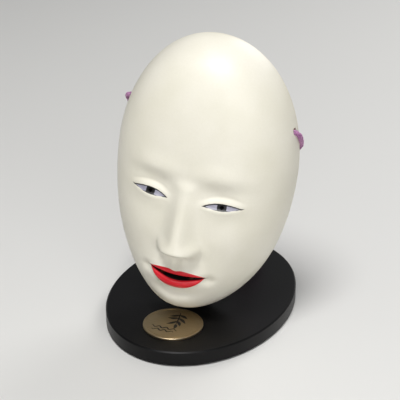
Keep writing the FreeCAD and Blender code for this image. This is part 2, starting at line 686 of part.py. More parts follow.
def coil(name, low):
    """A neat coil of four turns, two wide and two high, as one closed ring."""
    x, y = COIL_PLACE
    foot = V(x, y, low)
    ring = Part.makeCylinder(COIL_RADIUS + CORD, 2 * CORD, foot).cut(
        Part.makeCylinder(COIL_RADIUS - CORD, 2 * CORD, foot)
    )
    rims = [e for e in ring.Edges if e.BoundBox.ZLength < 1e-6]
    save(name, ring.makeFillet(0.45 * CORD, rims))


def knot(name, place, diameter):
    save(name, Part.makeSphere(diameter / 2.0, place))


def cord_pieces():
    """Both cords, each with its stopper knot, its hanging length, its coil and its end knot."""
    low_coil = BOARD_TOP + TOUCH
    high_coil = low_coil + 2 * CORD + TOUCH / 3
    knot_sink = 0.45 * KNOT_DIAMETER
    x, y = COIL_PLACE
    on_coil = V(x, y + COIL_RADIUS, high_coil + 2 * CORD + knot_sink)
    in_coil = V(x, y + COIL_RADIUS - CORD - knot_sink, low_coil + KNOT_DIAMETER / 2.0)
    for name, points, low, end in (
        ("left", LEFT_ROUTE, high_coil, on_coil),
        ("right", RIGHT_ROUTE, low_coil, in_coil),
    ):
        cord_tube(name + "_cord", points)
        coil(name + "_cord_coil", low)
        knot(name + "_end_knot", end, KNOT_DIAMETER)
        start, after = V(*points[0]), V(*points[1])
        way = (after - start).normalize()
        knot(name + "_stopper_knot", start - way * knot_sink, KNOT_DIAMETER)


def main():
    base_pieces()
    stand_pieces()
    knob_pieces(clamp_pieces())
    hanger_pieces()
    shell, coat = mask_pieces()
    save("mask_body", placed(shell))
    save("gofun_coat", placed(coat))
    cord_pieces()


main()
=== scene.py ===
# %% [markdown]
# # A carved noh mask on its stand
#
# A noh mask is one block of cypress, hollowed from behind and coated with gofun, a white paint of
# ground shell in hide glue. This one hangs on a padded metal bow above an oval lacquered board.
# The frame holds every hard part at its real size. This lesson gives those parts their finishes
# and makes what needs finer work: the face, the braided cords, the pads and the round plaque.

# %% Load the fixed frame
import math

import bmesh
import bpy
import numpy as np
from mathutils import Matrix, Vector


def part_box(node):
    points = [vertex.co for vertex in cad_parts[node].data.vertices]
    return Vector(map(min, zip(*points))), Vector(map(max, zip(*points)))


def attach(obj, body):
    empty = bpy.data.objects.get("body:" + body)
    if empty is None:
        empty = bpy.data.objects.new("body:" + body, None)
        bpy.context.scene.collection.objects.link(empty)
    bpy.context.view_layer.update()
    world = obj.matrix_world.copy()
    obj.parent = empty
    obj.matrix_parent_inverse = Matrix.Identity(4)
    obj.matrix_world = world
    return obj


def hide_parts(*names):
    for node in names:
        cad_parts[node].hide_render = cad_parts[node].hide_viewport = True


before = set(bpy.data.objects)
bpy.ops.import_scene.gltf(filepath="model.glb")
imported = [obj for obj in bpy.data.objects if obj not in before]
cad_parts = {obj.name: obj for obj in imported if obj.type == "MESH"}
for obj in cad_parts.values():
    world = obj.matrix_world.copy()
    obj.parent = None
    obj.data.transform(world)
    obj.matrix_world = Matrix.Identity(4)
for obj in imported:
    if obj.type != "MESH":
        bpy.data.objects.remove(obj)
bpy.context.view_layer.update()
MM = 0.001

# %% [markdown]
# ## Camera
#
# The mask is seen from a little above and from its left-hand side, through a long lens, so its
# upright lines stay nearly parallel. The aim is worked out from the top of the board.

# %% Camera
_, board_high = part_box("base_board")
VIEW_TURN = math.radians(22.55)
VIEW_DROP = math.radians(25.87)
VIEW_DISTANCE = 1.0894
AIM_RAISE = 70.3 * MM
AIM_LEFT = 1.8 * MM

bpy.ops.object.select_all(action="DESELECT")
looking = Matrix.Rotation(VIEW_TURN, 3, "Z") @ Matrix.Rotation(math.pi / 2 - VIEW_DROP, 3, "X")
across, upward, back = (looking.col[k] for k in range(3))
board_top = Vector((0, 0, board_high[2]))
aim = board_top + AIM_RAISE * upward - AIM_LEFT * across
bpy.ops.object.camera_add(location=aim + VIEW_DISTANCE * back, rotation=looking.to_euler())
camera = bpy.context.object
camera.name = "display_camera"
camera.data.lens = 126
camera.data.dof.use_dof = False
bpy.context.scene.camera = camera
print("camera at", [round(c, 3) for c in camera.location])

# %% [markdown]
# ## Helpers for modelling
#
# Operators act on everything that is selected, so each step starts by selecting one object only.
# Sizes below are in millimetres, and points are changed to metres when they go into a mesh.

# %% Helpers for modelling


def only(piece):
    """Makes the piece the one selected and active object."""
    bpy.ops.object.select_all(action="DESELECT")
    piece.select_set(True)
    bpy.context.view_layer.objects.active = piece


def get_points(piece):
    flat = np.empty(len(piece.data.vertices) * 3)
    piece.data.vertices.foreach_get("co", flat)
    return flat.reshape(-1, 3)


def set_points(piece, points):
    piece.data.vertices.foreach_set("co", np.asarray(points, dtype=float).ravel())
    piece.data.update()


def apply_modifiers(piece):
    only(piece)
    for modifier in list(piece.modifiers):
        bpy.ops.object.modifier_apply(modifier=modifier.name)


def set_attribute(piece, name, values):
    layer = piece.data.attributes.new(name, "FLOAT", "POINT")
    layer.data.foreach_set("value", np.asarray(values, dtype=np.float32))


def triangles(piece):
    return sum(len(face.vertices) - 2 for face in piece.data.polygons)


def ramp(low, high, value):
    share = np.clip((value - low) / (high - low), 0, 1)
    return share * share * (3 - 2 * share)


# %% [markdown]
# ## The cords
#
# Two cords tie a mask to the wearer's head. Each is a silk braid about 4 mm thick and 0.8 m long.
# Here it comes out of a hole in the side, folds round the rim, lies over the rest behind the mask
# and drops to the board, where the rest of its length is wound into a small coil. The line is one
# smooth NURBS spline: a given route followed by turns worked out in a loop.

# %% Routes of the cords, in millimetres
CORD = 4.2
COIL_MIDDLE = Vector((1.0, 60.0))
COIL_TURN = 22.0
POINTS_A_TURN = 16

LEFT_ROUTE = [
    (63.0, -9.0, 163.0), (76.6, -8.6, 161.6), (77.4, -2.4, 154.0), (75.2, 4.2, 145.0),
    (65.5, 10.0, 138.0), (52.0, 15.5, 133.0), (39.5, 19.5, 129.0), (27.5, 21.5, 127.5),
    (21.5, 24.0, 127.0), (19.0, 30.0, 124.0), (18.5, 32.5, 113.0), (19.0, 33.5, 92.0),
    (19.0, 35.0, 68.0), (19.5, 37.0, 46.0), (21.0, 42.0, 30.0), (24.0, 51.0, 23.4),
]
RIGHT_ROUTE = [
    (-38.5, -15.0, 173.6), (-53.2, -15.8, 174.8), (-55.0, -9.4, 168.0), (-53.4, -2.6, 159.0),
    (-47.0, 3.2, 151.0), (-37.0, 10.0, 142.0), (-26.0, 15.5, 135.5), (-19.5, 18.5, 131.5),
    (-15.0, 22.0, 131.0), (-13.5, 28.5, 128.0), (-14.0, 31.5, 117.0), (-14.5, 33.0, 96.0),
    (-14.0, 34.0, 75.0), (-14.5, 33.5, 54.0), (-15.0, 34.0, 34.0), (-16.0, 36.5, 21.5),
    (-17.5, 43.0, 15.8), (-20.5, 51.0, 14.7),
]
OUTER, INNER = COIL_TURN + CORD / 2, COIL_TURN - CORD / 2


def coil_turns(low, start, way, lanes, finish):
    """Points of a coil: lanes gives each turn's radius and layer, finish how far it goes past them."""
    made = []
    total = len(lanes) * POINTS_A_TURN - finish
    for k in range(total):
        turn, step = divmod(k, POINTS_A_TURN)
        radius, layer = lanes[turn]
        after_radius, after_layer = lanes[min(turn + 1, len(lanes) - 1)]
        change = float(ramp(POINTS_A_TURN - 4, POINTS_A_TURN - 1, step))
        radius += (after_radius - radius) * change
        layer += (after_layer - layer) * change
        angle = start + way * 2 * math.pi * k / POINTS_A_TURN
        x = COIL_MIDDLE.x + radius * math.cos(angle)
        y = COIL_MIDDLE.y + radius * math.sin(angle)
        made.append((x, y, low + CORD / 2 + CORD * layer))
    return made


right_low = 12.5
left_low = 21.0
left_lanes = [(OUTER, 0), (INNER, 0), (INNER, 1), (OUTER, 1), (COIL_TURN, 2)]
right_lanes = [(OUTER, 0), (OUTER, 1), (INNER, 1), (INNER, 0), (INNER - CORD, 0)]
left_coil = coil_turns(left_low, 0, 1, left_lanes, 13)
right_coil = coil_turns(right_low, math.pi, -1, right_lanes, 13)
left_points = LEFT_ROUTE + left_coil + [(6.5, 81.5, 31.8), (2.0, 82.0, 33.2)]
right_points = RIGHT_ROUTE + right_coil + [(-3.0, 75.2, 15.6), (0.5, 74.0, 16.8)]
print("route points: left %d, right %d" % (len(left_points), len(right_points)))

# %% [markdown]
# ## Braiding a cord
#
# A round silk braid is eight bundles of thread, four winding one way and four the other, each
# passing over one and under the next. Real bundles are modelled, so the braid catches the light
# as the real one does. Each bundle follows the spline at a radius that rises and falls where it
# crosses the others.

# %% Spline and braid


def spline_line(name, points):
    """The smooth line of a NURBS spline through the space of its points, evenly spaced in mm."""
    data = bpy.data.curves.new(name, "CURVE")
    data.dimensions = "3D"
    data.resolution_u = 10
    spline = data.splines.new("NURBS")
    spline.points.add(len(points) - 1)
    for place, point in zip(spline.points, points):
        place.co = (*[c * MM for c in point], 1)
    spline.order_u = 3
    spline.use_endpoint_u = True
    curve = bpy.data.objects.new(name, data)
    line = bpy.data.meshes.new_from_object(curve)
    flat = np.empty(len(line.vertices) * 3)
    line.vertices.foreach_get("co", flat)
    bpy.data.objects.remove(curve)
    bpy.data.meshes.remove(line)
    return flat.reshape(-1, 3) / MM


def evenly(line, spacing):
    steps = np.linalg.norm(np.diff(line, axis=0), axis=1)
    line = line[np.concatenate([[True], steps > 1e-6])]
    travelled = np.concatenate([[0], np.cumsum(np.linalg.norm(np.diff(line, axis=0), axis=1))])
    count = int(travelled[-1] / spacing) + 1
    where = np.linspace(0, travelled[-1], count)
    return np.stack([np.interp(where, travelled, line[:, k]) for k in range(3)], 1), where


def side_ways(line):
    """Two directions square to the line at each point, carried along it without twisting."""
    ahead = np.gradient(line, axis=0)
    ahead /= np.linalg.norm(ahead, axis=1)[:, None]
    first = np.cross(ahead[0], (0.3, 0.5, 0.8))
    ways = [first / np.linalg.norm(first)]
    for direction in ahead[1:]:
        way = ways[-1] - direction * np.dot(ways[-1], direction)
        ways.append(way / np.linalg.norm(way))
    ways = np.array(ways)
    return ways, np.cross(ahead, ways)


BRAID_PITCH = 17.0      # length of one full turn of a bundle
BUNDLES = 4             # wound each way
BUNDLE_SIDES = 6


def braid(name, line, thickness, spacing=0.58):
    """A mesh of bundles braided round the line. The line and thickness are in mm."""
    line, where = evenly(line, spacing)
    one, two = side_ways(line)
    middle = 0.27 * thickness
    lift = 0.075 * thickness
    wide, thin = 0.23 * thickness, 0.155 * thickness
    turn = 2 * math.pi * where / BRAID_PITCH
    rounds = np.arange(BUNDLE_SIDES) * 2 * math.pi / BUNDLE_SIDES
    points, faces, along, bundle, raised = [], [], [], [], []
    for way in (1, -1):
        for k in range(BUNDLES):
            angle = way * turn + k * 2 * math.pi / BUNDLES
            radius = middle + way * lift * np.cos(BUNDLES * turn)
            outward = np.cos(angle)[:, None] * one + np.sin(angle)[:, None] * two
            core = line + outward * radius[:, None]
            ahead = np.gradient(core, axis=0)
            ahead /= np.linalg.norm(ahead, axis=1)[:, None]
            flat = np.cross(ahead, outward)
            flat /= np.linalg.norm(flat, axis=1)[:, None]
            ring = (
                core[:, None]
                + wide * np.cos(rounds)[None, :, None] * flat[:, None]
                + thin * np.sin(rounds)[None, :, None] * outward[:, None]
            )
            first = sum(len(p) for p in points)
            points.append(ring.reshape(-1, 3))
            along.append(np.repeat(where, BUNDLE_SIDES))
            # How high each point lies in the braid; the silk finish turns its low places into painted shade.
            bundle_lift = np.repeat((radius - middle) / lift, BUNDLE_SIDES)
            raised.append(bundle_lift + np.tile(np.sin(rounds), len(line)))
            bundle.append(np.full(ring.shape[0] * BUNDLE_SIDES, k + BUNDLES * (way < 0)))
            rows = np.arange(len(line) - 1)[:, None] * BUNDLE_SIDES
            now = np.arange(BUNDLE_SIDES)[None, :]
            after = (now + 1) % BUNDLE_SIDES
            next_rows = rows + BUNDLE_SIDES
            quads = np.stack([rows + now, rows + after, next_rows + after, next_rows + now], 2)
            faces.extend((quads.reshape(-1, 4) + first).tolist())
            last = first + (len(line) - 1) * BUNDLE_SIDES
            faces.append([first + k2 for k2 in range(BUNDLE_SIDES)][::-1])
            faces.append([last + k2 for k2 in range(BUNDLE_SIDES)])
    mesh = bpy.data.meshes.new(name)
    mesh.from_pydata((np.concatenate(points) * MM).tolist(), [], faces)
    piece = bpy.data.objects.new(name, mesh)
    bpy.context.scene.collection.objects.link(piece)
    set_attribute(piece, "along", np.concatenate(along))
    set_attribute(piece, "bundle", np.concatenate(bundle))
    set_attribute(piece, "raised", np.concatenate(raised))
    only(piece)
    bpy.ops.object.mode_set(mode="EDIT")
    bpy.ops.mesh.select_all(action="SELECT")
    bpy.ops.mesh.normals_make_consistent(inside=False)
    bpy.ops.object.mode_set(mode="OBJECT")
    bpy.ops.object.shade_smooth()
    print("%s: %d triangles" % (name, triangles(piece)))
    return piece, line


# %% [markdown]
# ## Knots
#
# A knot inside the wall keeps each cord from pulling out, and another closes its far end. Both are
# the same overhand knot drawn tight. Its line is the closed trefoil, which is what an overhand
# knot looks like when its two ends meet.

# %% Knots
KNOT = 9.0


def knot(name, node):
    low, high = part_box(node)
    middle = np.array([(a + b) / 2 / MM for a, b in zip(low, high)])
    angle = np.linspace(0, 2 * math.pi, 120)
    size = KNOT / 7.6
    line = np.stack([
        size * (np.sin(angle) + 2 * np.sin(2 * angle)),
        size * (np.cos(angle) - 2 * np.cos(2 * angle)),
        -size * 1.15 * np.sin(3 * angle),
    ], 1)
    piece, _ = braid(name, line + middle, 0.72 * CORD)
    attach(piece, "mask")
    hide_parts(node)
    return piece


cords, knots = [], []
for side, points, coil_name in (
    ("left", left_points, "left_cord_coil"),
    ("right", right_points, "right_cord_coil"),
):
    line = spline_line(side + "_line", points)
    piece, followed = braid(side + "_braid", line, CORD)
    stopper = knot(side + "_stopper", side + "_stopper_knot")
    ending = knot(side + "_ending", side + "_end_knot")
    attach(piece, "mask")
    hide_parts(side + "_cord", coil_name)
    length = float(np.linalg.norm(np.diff(followed, axis=0), axis=1).sum()) * MM
    cords.append(piece)
    knots += [stopper, ending]
    print("%s cord: %.3f m" % (side, length))

# %% [markdown]
# ## The mask's forms
#
# A carver sets out the face on the block with templates before cutting. Here the same is done
# with a formula: an egg-shaped dome stands on the rim plane, and the face's forms are hills and
# hollows on it, at the levels of the usual drawing canon. Mask coordinates run x to the side,
# y backwards and z up the mask, from the middle of the rim plane.

# %% Where the mask hangs
LEAN_BACK, SIDE_TILT, TURN = 3.1, 6.0, 3.6
MASK_CENTRE = Vector((6.9, -6.9, 120.1))
turned = Matrix.Rotation(math.radians(TURN), 3, "Z") @ Matrix.Rotation(math.radians(SIDE_TILT), 3, "Y")
MASK_AXES = np.array(turned @ Matrix.Rotation(math.radians(-LEAN_BACK), 3, "X"))


def hang(points):
    """Mask coordinates in mm to places in the frame in metres."""
    return (points @ MASK_AXES.T + np.array(MASK_CENTRE)) * MM


def unhang(points):
    return (points / MM - np.array(MASK_CENTRE)) @ MASK_AXES


# %% The dome
MASK_HEIGHT, MASK_WIDTH, DOME_DEPTH = 211.0, 136.0, 50.0
WIDEST = 12.0           # level of the widest place, above the middle
COAT, BARE_RIM = 1.0, 1.2
RIM_WALL, CROWN_WALL, FACE_WALL, HOLLOW_BACK = 9.0, 11.0, 12.0, 3.0


class Dome:
    """An egg-shaped dome: how wide it is and how far it stands out at each level."""

    def __init__(self, side=0.0, crown=0.0, front=0.0, chin_drop=7.0):
        self.half = MASK_WIDTH / 2 - side
        self.up = MASK_HEIGHT / 2 - WIDEST - crown
        self.down = MASK_HEIGHT / 2 + WIDEST - crown
        self.front = DOME_DEPTH - front
        self.chin_drop = chin_drop

    def share(self, z):
        rise = z - WIDEST
        return np.clip((rise / np.where(rise > 0, self.up, self.down)) ** 2, 0, 1)

    def level(self, height):
        """The level at a share of the way up (1) or down (-1)."""
        return WIDEST + np.where(height > 0, self.up, self.down) * height

    def half_width(self, z):
        t = self.share(z)
        above = np.sqrt(np.maximum(0, 1 - 0.93 * t - 0.07 * t * t))
        below = (1 - 0.13 * t * t) * np.sqrt(np.maximum(0, 1 - 0.86 * t - 0.14 * t ** 4))
        return self.half * np.where(z > WIDEST, above, below)

    def crest(self, z):
        t = self.share(z)
        above = self.front * np.sqrt(np.maximum(0, 1 - 0.70 * t - 0.30 * t * t))
        below = (self.front - self.chin_drop * t) * np.sqrt(np.maximum(0, 1 - 0.04 * t - 0.96 * t ** 7))
        return np.where(z > WIDEST, above, below)

    def depth(self, x, z):
        s = np.clip((x / np.maximum(1e-6, self.half_width(z))) ** 2, 0, 1)
        return self.crest(z) * np.sqrt(np.maximum(0, 1 - 0.72 * s - 0.28 * s * s))


# %% The face
EYE_MIDDLE, EYE_LEVEL, EYE_REACH = 27.0, -6.0, 13.5
MOUTH_LEVEL, MOUTH_REACH = -66.5, 22.5
NOSE_BASE, BROW, CHIN = -47.0, 15.0, -90.0


def hill(x, z, place, reach):
    """A round hill of height 1 at place, with reach to the side and up."""
    return np.exp(-((x - place[0]) / reach[0]) ** 2 - ((z - place[1]) / reach[1]) ** 2)


def eye_margins(a):
    """Levels of the upper and lower lid margins at a distance a from the middle line."""
    q = (a - EYE_MIDDLE) / EYE_REACH
    open_share = np.maximum(0, 1 - q * q)
    line = EYE_LEVEL + 0.9 * q
    return line + 3.0 * open_share ** 0.9, line - 1.7 * open_share


def eye_inside(a, z):
    """How far a point is inside the eye's opening, below 0 outside it."""
    upper, lower = eye_margins(a)
    return np.minimum(np.minimum(upper - z, z - lower), (EYE_REACH - np.abs(a - EYE_MIDDLE)) * 0.5)


def lip_lines(x):
    """Levels of the lips: outer edge above, its inner edge, inner edge below, outer edge."""
    a = np.abs(x)
    middle = MOUTH_LEVEL + 2.0 * (a / MOUTH_REACH) ** 2
    gap = np.maximum(0, 1 - (a / (MOUTH_REACH - 1)) ** 2) ** 0.8
    above = np.maximum(0, 1 - (a / (MOUTH_REACH - 0.5)) ** 1.9) ** 0.85
    below = np.maximum(0, 1 - (a / (MOUTH_REACH - 1.5)) ** 2.2) ** 0.8
    dip = 1.1 * np.exp(-(x / 3.2) ** 2)
    return middle + 6.6 * above - dip * above, middle + 2.0 * gap, middle - 2.2 * gap, middle - 9.0 * below


def mouth_inside(x, z):
    """How far a point is inside the gap between the lips."""
    _, upper, lower, _ = lip_lines(x)
    return np.minimum(np.minimum(upper - z, z - lower), (MOUTH_REACH - np.abs(x)) * 0.5)


def nose(a, z):
    share = np.clip((8 - z) / 49, 0, 1)
    height = 3.0 * ramp(2.0, 12.0, 14.0 - z) + 14.5 * share ** 1.25
    height = height * (1 - ramp(0.0, 9.5, -42.0 - z))
    width = 8.0 + 3.0 * share * share
    return height * np.exp(-(a / width) ** 2.1)


def face_relief(x, z, fine=True):
    """Height of the face's forms over the dome, in mm."""
    a = np.abs(x)
    h = 2.2 * hill(a, z, (25, BROW), (19, 8)) - 5.2 * hill(a, z, (23, 0), (13, 9.5))
    h = h + 4.2 * hill(a, z, (EYE_MIDDLE, EYE_LEVEL + 0.5), (14, 8)) + 3.4 * hill(a, z, (36, -33), (19, 19))
    h = h + nose(a, z) + 5.4 * hill(a, z, (11, NOSE_BASE + 3.5), (5.2, 5.8))
    h = h + 4.6 * hill(a, z, (0, MOUTH_LEVEL), (27, 17)) + 1.9 * hill(a, z, (0, MOUTH_LEVEL + 5), (16, 3.4))
    h = h + 2.5 * hill(a, z, (0, MOUTH_LEVEL - 5), (13, 4)) - 1.6 * hill(a, z, (0, MOUTH_LEVEL), (19, 1.8))
    h = h - 1.8 * hill(a, z, (23.5, MOUTH_LEVEL), (4, 4)) - 0.9 * hill(a, z, (0, NOSE_BASE - 7.5), (2.8, 5))
    h = h - 2.0 * hill(a, z, (0, MOUTH_LEVEL - 13.5), (15, 4)) + 5.0 * hill(a, z, (0, CHIN), (17, 10))
    if not fine:
        return h
    upper, lower = eye_margins(a)
    beside = np.exp(-((a - EYE_MIDDLE) / (EYE_REACH + 1.5)) ** 6)
    h = h - 1.15 * ramp(-0.3, 0.7, eye_inside(a, z))
    h = h + 0.55 * beside * np.exp(-((z - upper - 1.2) / 1.5) ** 2)
    h = h - 0.55 * beside * np.exp(-((z - upper - 4.6) / 1.1) ** 2)
    h = h + 0.35 * beside * np.exp(-((z - lower + 1.5) / 1.6) ** 2)
    h = h - 1.1 * hill(a, z, (17.2, NOSE_BASE + 3), (1.9, 5.0))
    h = h + 1.3 * hill(a, z, (6.5, NOSE_BASE + 5), (4.5, 5.5))
    top, high, low, bottom = lip_lines(x)
    lips = np.minimum(top - z, z - bottom)
    within = np.minimum(1, np.maximum(0, (MOUTH_REACH - a) / 5))
    h = h + 0.55 * ramp(-0.7, 0.9, lips) * within
    h = h + 0.6 * np.exp(-((z - (low + bottom) / 2) / 2.6) ** 2) * within
    return h - 3.2 * ramp(-0.8, 1.1, mouth_inside(x, z)) * ramp(0, 4, MOUTH_REACH + 0.5 - a)


# %% [markdown]
# ## The white coat
#
# The coat is about 1 mm of gofun over the wood, from the front round to just short of the back
# edge, where a strip of wood stays bare. A grid is pulled into a disc, so that no rows meet in a
# point, with its lines drawn closer together where the eyes and mouth need them. Solidify gives it
# its thickness, and Decimate thins the side that lies hidden on the wood.

# %% Grid over the mask


def crowded(values, places):
    """Moves evenly spaced values from -1 to 1 so that more of them lie at the given places."""
    fine = np.linspace(-1, 1, 2001)
    weight = np.ones_like(fine)
    for middle, reach, extra in places:
        weight += extra * np.exp(-((fine - middle) / reach) ** 2)
    total = np.concatenate([[0], np.cumsum((weight[1:] + weight[:-1]) / 2)])
    return np.interp((values + 1) / 2 * total[-1], total, fine)


def disc_grid(name, columns, rows, across_places=(), up_places=()):
    """A grid primitive and where each of its points lies in a round disc, closer near its edge."""
    bpy.ops.object.select_all(action="DESELECT")
    bpy.ops.mesh.primitive_grid_add(x_subdivisions=columns, y_subdivisions=rows, size=2)
    piece = bpy.context.object
    piece.name = name
    points = get_points(piece)
    a, b = crowded(points[:, 0], across_places), crowded(points[:, 1], up_places)
    p, q = a * np.sqrt(1 - b * b / 2), b * np.sqrt(1 - a * a / 2)
    r = np.maximum(1e-9, np.sqrt(p * p + q * q))
    stretch = np.sin(math.pi / 2 * np.minimum(1, r)) / r
    return piece, p * stretch, q * stretch


def dome_points(dome, p, q, relief):
    """Points of a dome with its relief, for places p and q in the disc."""
    z = dome.level(q)
    side = p / np.sqrt(np.maximum(1e-12, 1 - q * q))
    side = np.clip(side, -1, 1)
    x = dome.half_width(z) * side
    s = side ** 2
    crest = dome.crest(z)
    depth = crest * np.sqrt(np.maximum(0, 1 - 0.72 * s - 0.28 * s * s))
    fade = np.maximum(0, 1 - s) ** 0.3 * np.minimum(1, crest / 30)
    return np.stack([x, -(depth + relief(x, z) * fade), z], 1)


coat, p, q = disc_grid("gofun_face", 214, 300, [(0, 0.5, 1.3)], [(-0.28, 0.36, 1.7)])
skin = dome_points(Dome(), p, q, face_relief)
deepest = DOME_DEPTH
skin[:, 1] = -BARE_RIM + skin[:, 1] * (deepest - BARE_RIM) / deepest
set_points(coat, skin)
print("coat: %d triangles on the front, %.0f mm deep" % (triangles(coat), -skin[:, 1].min()))

# %% Openings to cut through the mask


def prism(name, outline, start, end):
    """A closed bar along y with this outline of (x, z) points, for cutting."""
    bpy.ops.object.select_all(action="DESELECT")
    bpy.ops.mesh.primitive_circle_add(vertices=len(outline), radius=1, fill_type="NGON")
    piece = bpy.context.object
    piece.name = name
    set_points(piece, [(x, start, z) for x, z in outline])
    bpy.ops.object.mode_set(mode="EDIT")
    bpy.ops.mesh.select_all(action="SELECT")
    bpy.ops.mesh.extrude_region_move(TRANSFORM_OT_translate={"value": (0, end - start, 0)})
    bpy.ops.mesh.select_all(action="SELECT")
    bpy.ops.mesh.normals_make_consistent(inside=False)
    bpy.ops.object.mode_set(mode="OBJECT")
    return piece


def rod(name, start, end, diameter):
    """A round bar between two places, for cutting."""
    way = Vector(end) - Vector(start)
    bpy.ops.object.select_all(action="DESELECT")
    bpy.ops.mesh.primitive_cylinder_add(
        vertices=40, radius=diameter / 2, depth=way.length, location=(Vector(start) + Vector(end)) / 2,
        rotation=way.to_track_quat("Z", "Y").to_euler(),
    )
    piece = bpy.context.object
    piece.name = name
    bpy.ops.object.transform_apply(location=True, rotation=True, scale=True)
    return piece


def join(pieces, name):
    bpy.ops.object.select_all(action="DESELECT")
    for piece in pieces:
        piece.select_set(True)
    bpy.context.view_layer.objects.active = pieces[0]
    bpy.ops.object.join()
    pieces[0].name = name
    return pieces[0]


PUPIL, PUPIL_OPENING = 7.0, 3.2
CORD_HOLE, CORD_HOLE_PLACE = 5.4, (62.4, -8.0, 48.0)
NOSTRIL = 4.0
MOUTH_SLOT = 15.0


def eye_outline(side):
    """The pupil's round opening, cut short by the lids."""
    angle = np.linspace(0, 2 * math.pi, 48, endpoint=False)
    a = EYE_MIDDLE + PUPIL_OPENING / 2 * np.cos(angle)
    z = EYE_LEVEL + 0.4 + PUPIL_OPENING / 2 * np.sin(angle)
    upper, lower = eye_margins(a)
    z = np.clip(z, lower + 0.5, upper - 1.0)
    return list(zip(side * a, z))


def slot_outline():
    """The gap below the teeth."""
    x = np.linspace(-MOUTH_SLOT, MOUTH_SLOT, 41)
    _, upper, lower, _ = lip_lines(x)
    share = np.sqrt(np.maximum(0, 1 - (x / MOUTH_SLOT) ** 4))
    middle = (upper + lower) / 2 - 0.55
    half = 1.2 * share + 0.02
    return list(zip(x, middle + half)) + list(zip(x[::-1], middle[::-1] - half[::-1]))


def face_cutters():
    far = -2 * DOME_DEPTH
    bars = [prism("slot_cut", slot_outline(), 6, far)]
    for side in (1, -1):
        bars.append(prism("eye_cut", eye_outline(side), 6, far))
        x, y, z = CORD_HOLE_PLACE
        bars.append(rod("cord_cut", (side * (x + 7), y, z), (side * (x - 26), y, z), CORD_HOLE))
        foot = Vector((side * 6.5, -DOME_DEPTH - 16, NOSE_BASE - 7))
        bars.append(rod("nostril_cut", foot, foot + Vector((-side, 8, 16)), NOSTRIL))
    return join(bars, "face_cutters")


def carve(piece, cutters):
    """Cuts the openings out of a closed piece and removes the cutters."""
    cut = piece.modifiers.new("openings", "BOOLEAN")
    cut.operation, cut.solver, cut.object = "DIFFERENCE", "EXACT", cutters
    apply_modifiers(piece)
    bpy.data.objects.remove(cutters)


def in_frame(piece):
    """Puts a piece made in mask coordinates in its place in the frame."""
    set_points(piece, hang(get_points(piece)))
    only(piece)
    bpy.ops.object.shade_smooth_by_angle(angle=math.radians(40))


# %% Thickness and openings of the coat
shell = coat.modifiers.new("thickness", "SOLIDIFY")
shell.thickness, shell.offset = COAT, -1
shell.shell_vertex_group = coat.vertex_groups.new(name="inner").name
thinning = coat.modifiers.new("thin_the_hidden_side", "DECIMATE")
thinning.ratio, thinning.vertex_group = 0.62, "inner"
apply_modifiers(coat)
carve(coat, face_cutters())
in_frame(coat)
print("coat: %d triangles" % triangles(coat))

# %% [markdown]
# ## The carved wood
#
# The wood is cut as one shell: its outer wall lies against the coat, and its inner wall is the
# hollow that the wearer's face goes into. The inner wall keeps the shallow scoops of the gouge.
# Both walls are the same grid, so the rim between them is one bridge of faces.

# %% Carved wooden shell
GOUGE_WIDTH, GOUGE_LENGTH, GOUGE_RIDGE = 8.0, 13.0, 0.9


def gouge_marks(x, z):
    """Height of the ridges left between scoops, from the distance to the nearest scoop's middle."""
    column, row = np.floor(x / GOUGE_WIDTH), np.floor(z / GOUGE_LENGTH)
    nearest = np.full_like(x, 9.0)
    for i in (-1, 0, 1):
        for j in (-1, 0, 1):
            c, r = column + i, row + j
            jitter_x = np.modf(np.abs(np.sin(c * 127.1 + r * 311.7)) * 437.5)[0]
            jitter_z = np.modf(np.abs(np.sin(c * 269.5 + r * 183.3)) * 437.5)[0]
            dx = x / GOUGE_WIDTH - (c + 0.25 + 0.5 * jitter_x)
            dz = z / GOUGE_LENGTH - (r + 0.25 + 0.5 * jitter_z)
            nearest = np.minimum(nearest, dx * dx + dz * dz)
    return GOUGE_RIDGE * nearest


def nose_hollow(x, z):
    return 6.0 * hill(np.abs(x), z, (0, -34), (9, 16))


wood, p, q = disc_grid("carved_wood", 120, 170)
outer_wall = Dome(COAT, COAT, COAT)
set_points(wood, dome_points(outer_wall, p, q, lambda x, z: face_relief(x, z) - 0.12))

hollow, p, q = disc_grid("hollow_wall", 120, 170)
inner_wall = Dome(RIM_WALL, CROWN_WALL, FACE_WALL - HOLLOW_BACK, 0.0)
inside = dome_points(inner_wall, p, q, nose_hollow)
edge = np.maximum(0, 1 - p * p - q * q)
sink = HOLLOW_BACK * np.minimum(1, np.sqrt(edge) * 2.5)
marks = gouge_marks(inside[:, 0], inside[:, 2]) * np.minimum(1, edge * 6)
inside[:, 1] = np.minimum(0, inside[:, 1] + sink + marks)
set_points(hollow, inside)
only(hollow)
bpy.ops.object.mode_set(mode="EDIT")
bpy.ops.mesh.select_all(action="SELECT")
bpy.ops.mesh.flip_normals()
bpy.ops.object.mode_set(mode="OBJECT")
wood = join([wood, hollow], "carved_wood")
walls = bmesh.new()
walls.from_mesh(wood.data)
walls.verts.ensure_lookup_table()
half_count = len(walls.verts) // 2
rim_edges = [edge for edge in walls.edges if edge.is_boundary and edge.verts[0].index < half_count]
for rim_edge in rim_edges:
    a, b = rim_edge.verts
    walls.faces.new((a, b, walls.verts[b.index + half_count], walls.verts[a.index + half_count]))
bmesh.ops.recalc_face_normals(walls, faces=walls.faces)
walls.to_mesh(wood.data)
walls.free()
carve(wood, face_cutters())
in_frame(wood)
print("wood: %d triangles" % triangles(wood))

# %% [markdown]
# ## Where the paint goes
#
# The eyes and lips are painted, with edges as sharp as a fine brush leaves them. The gap between
# the lips and the creases at the mouth's corners are painted dark as shade. Each point of the
# coat stores how far it is inside each painted area, in millimetres. The material turns those
# distances into edges, so the paint stays crisp between the points of the mesh.

# %% Paint areas on the coat and wood
EYE_TAIL = 5.0


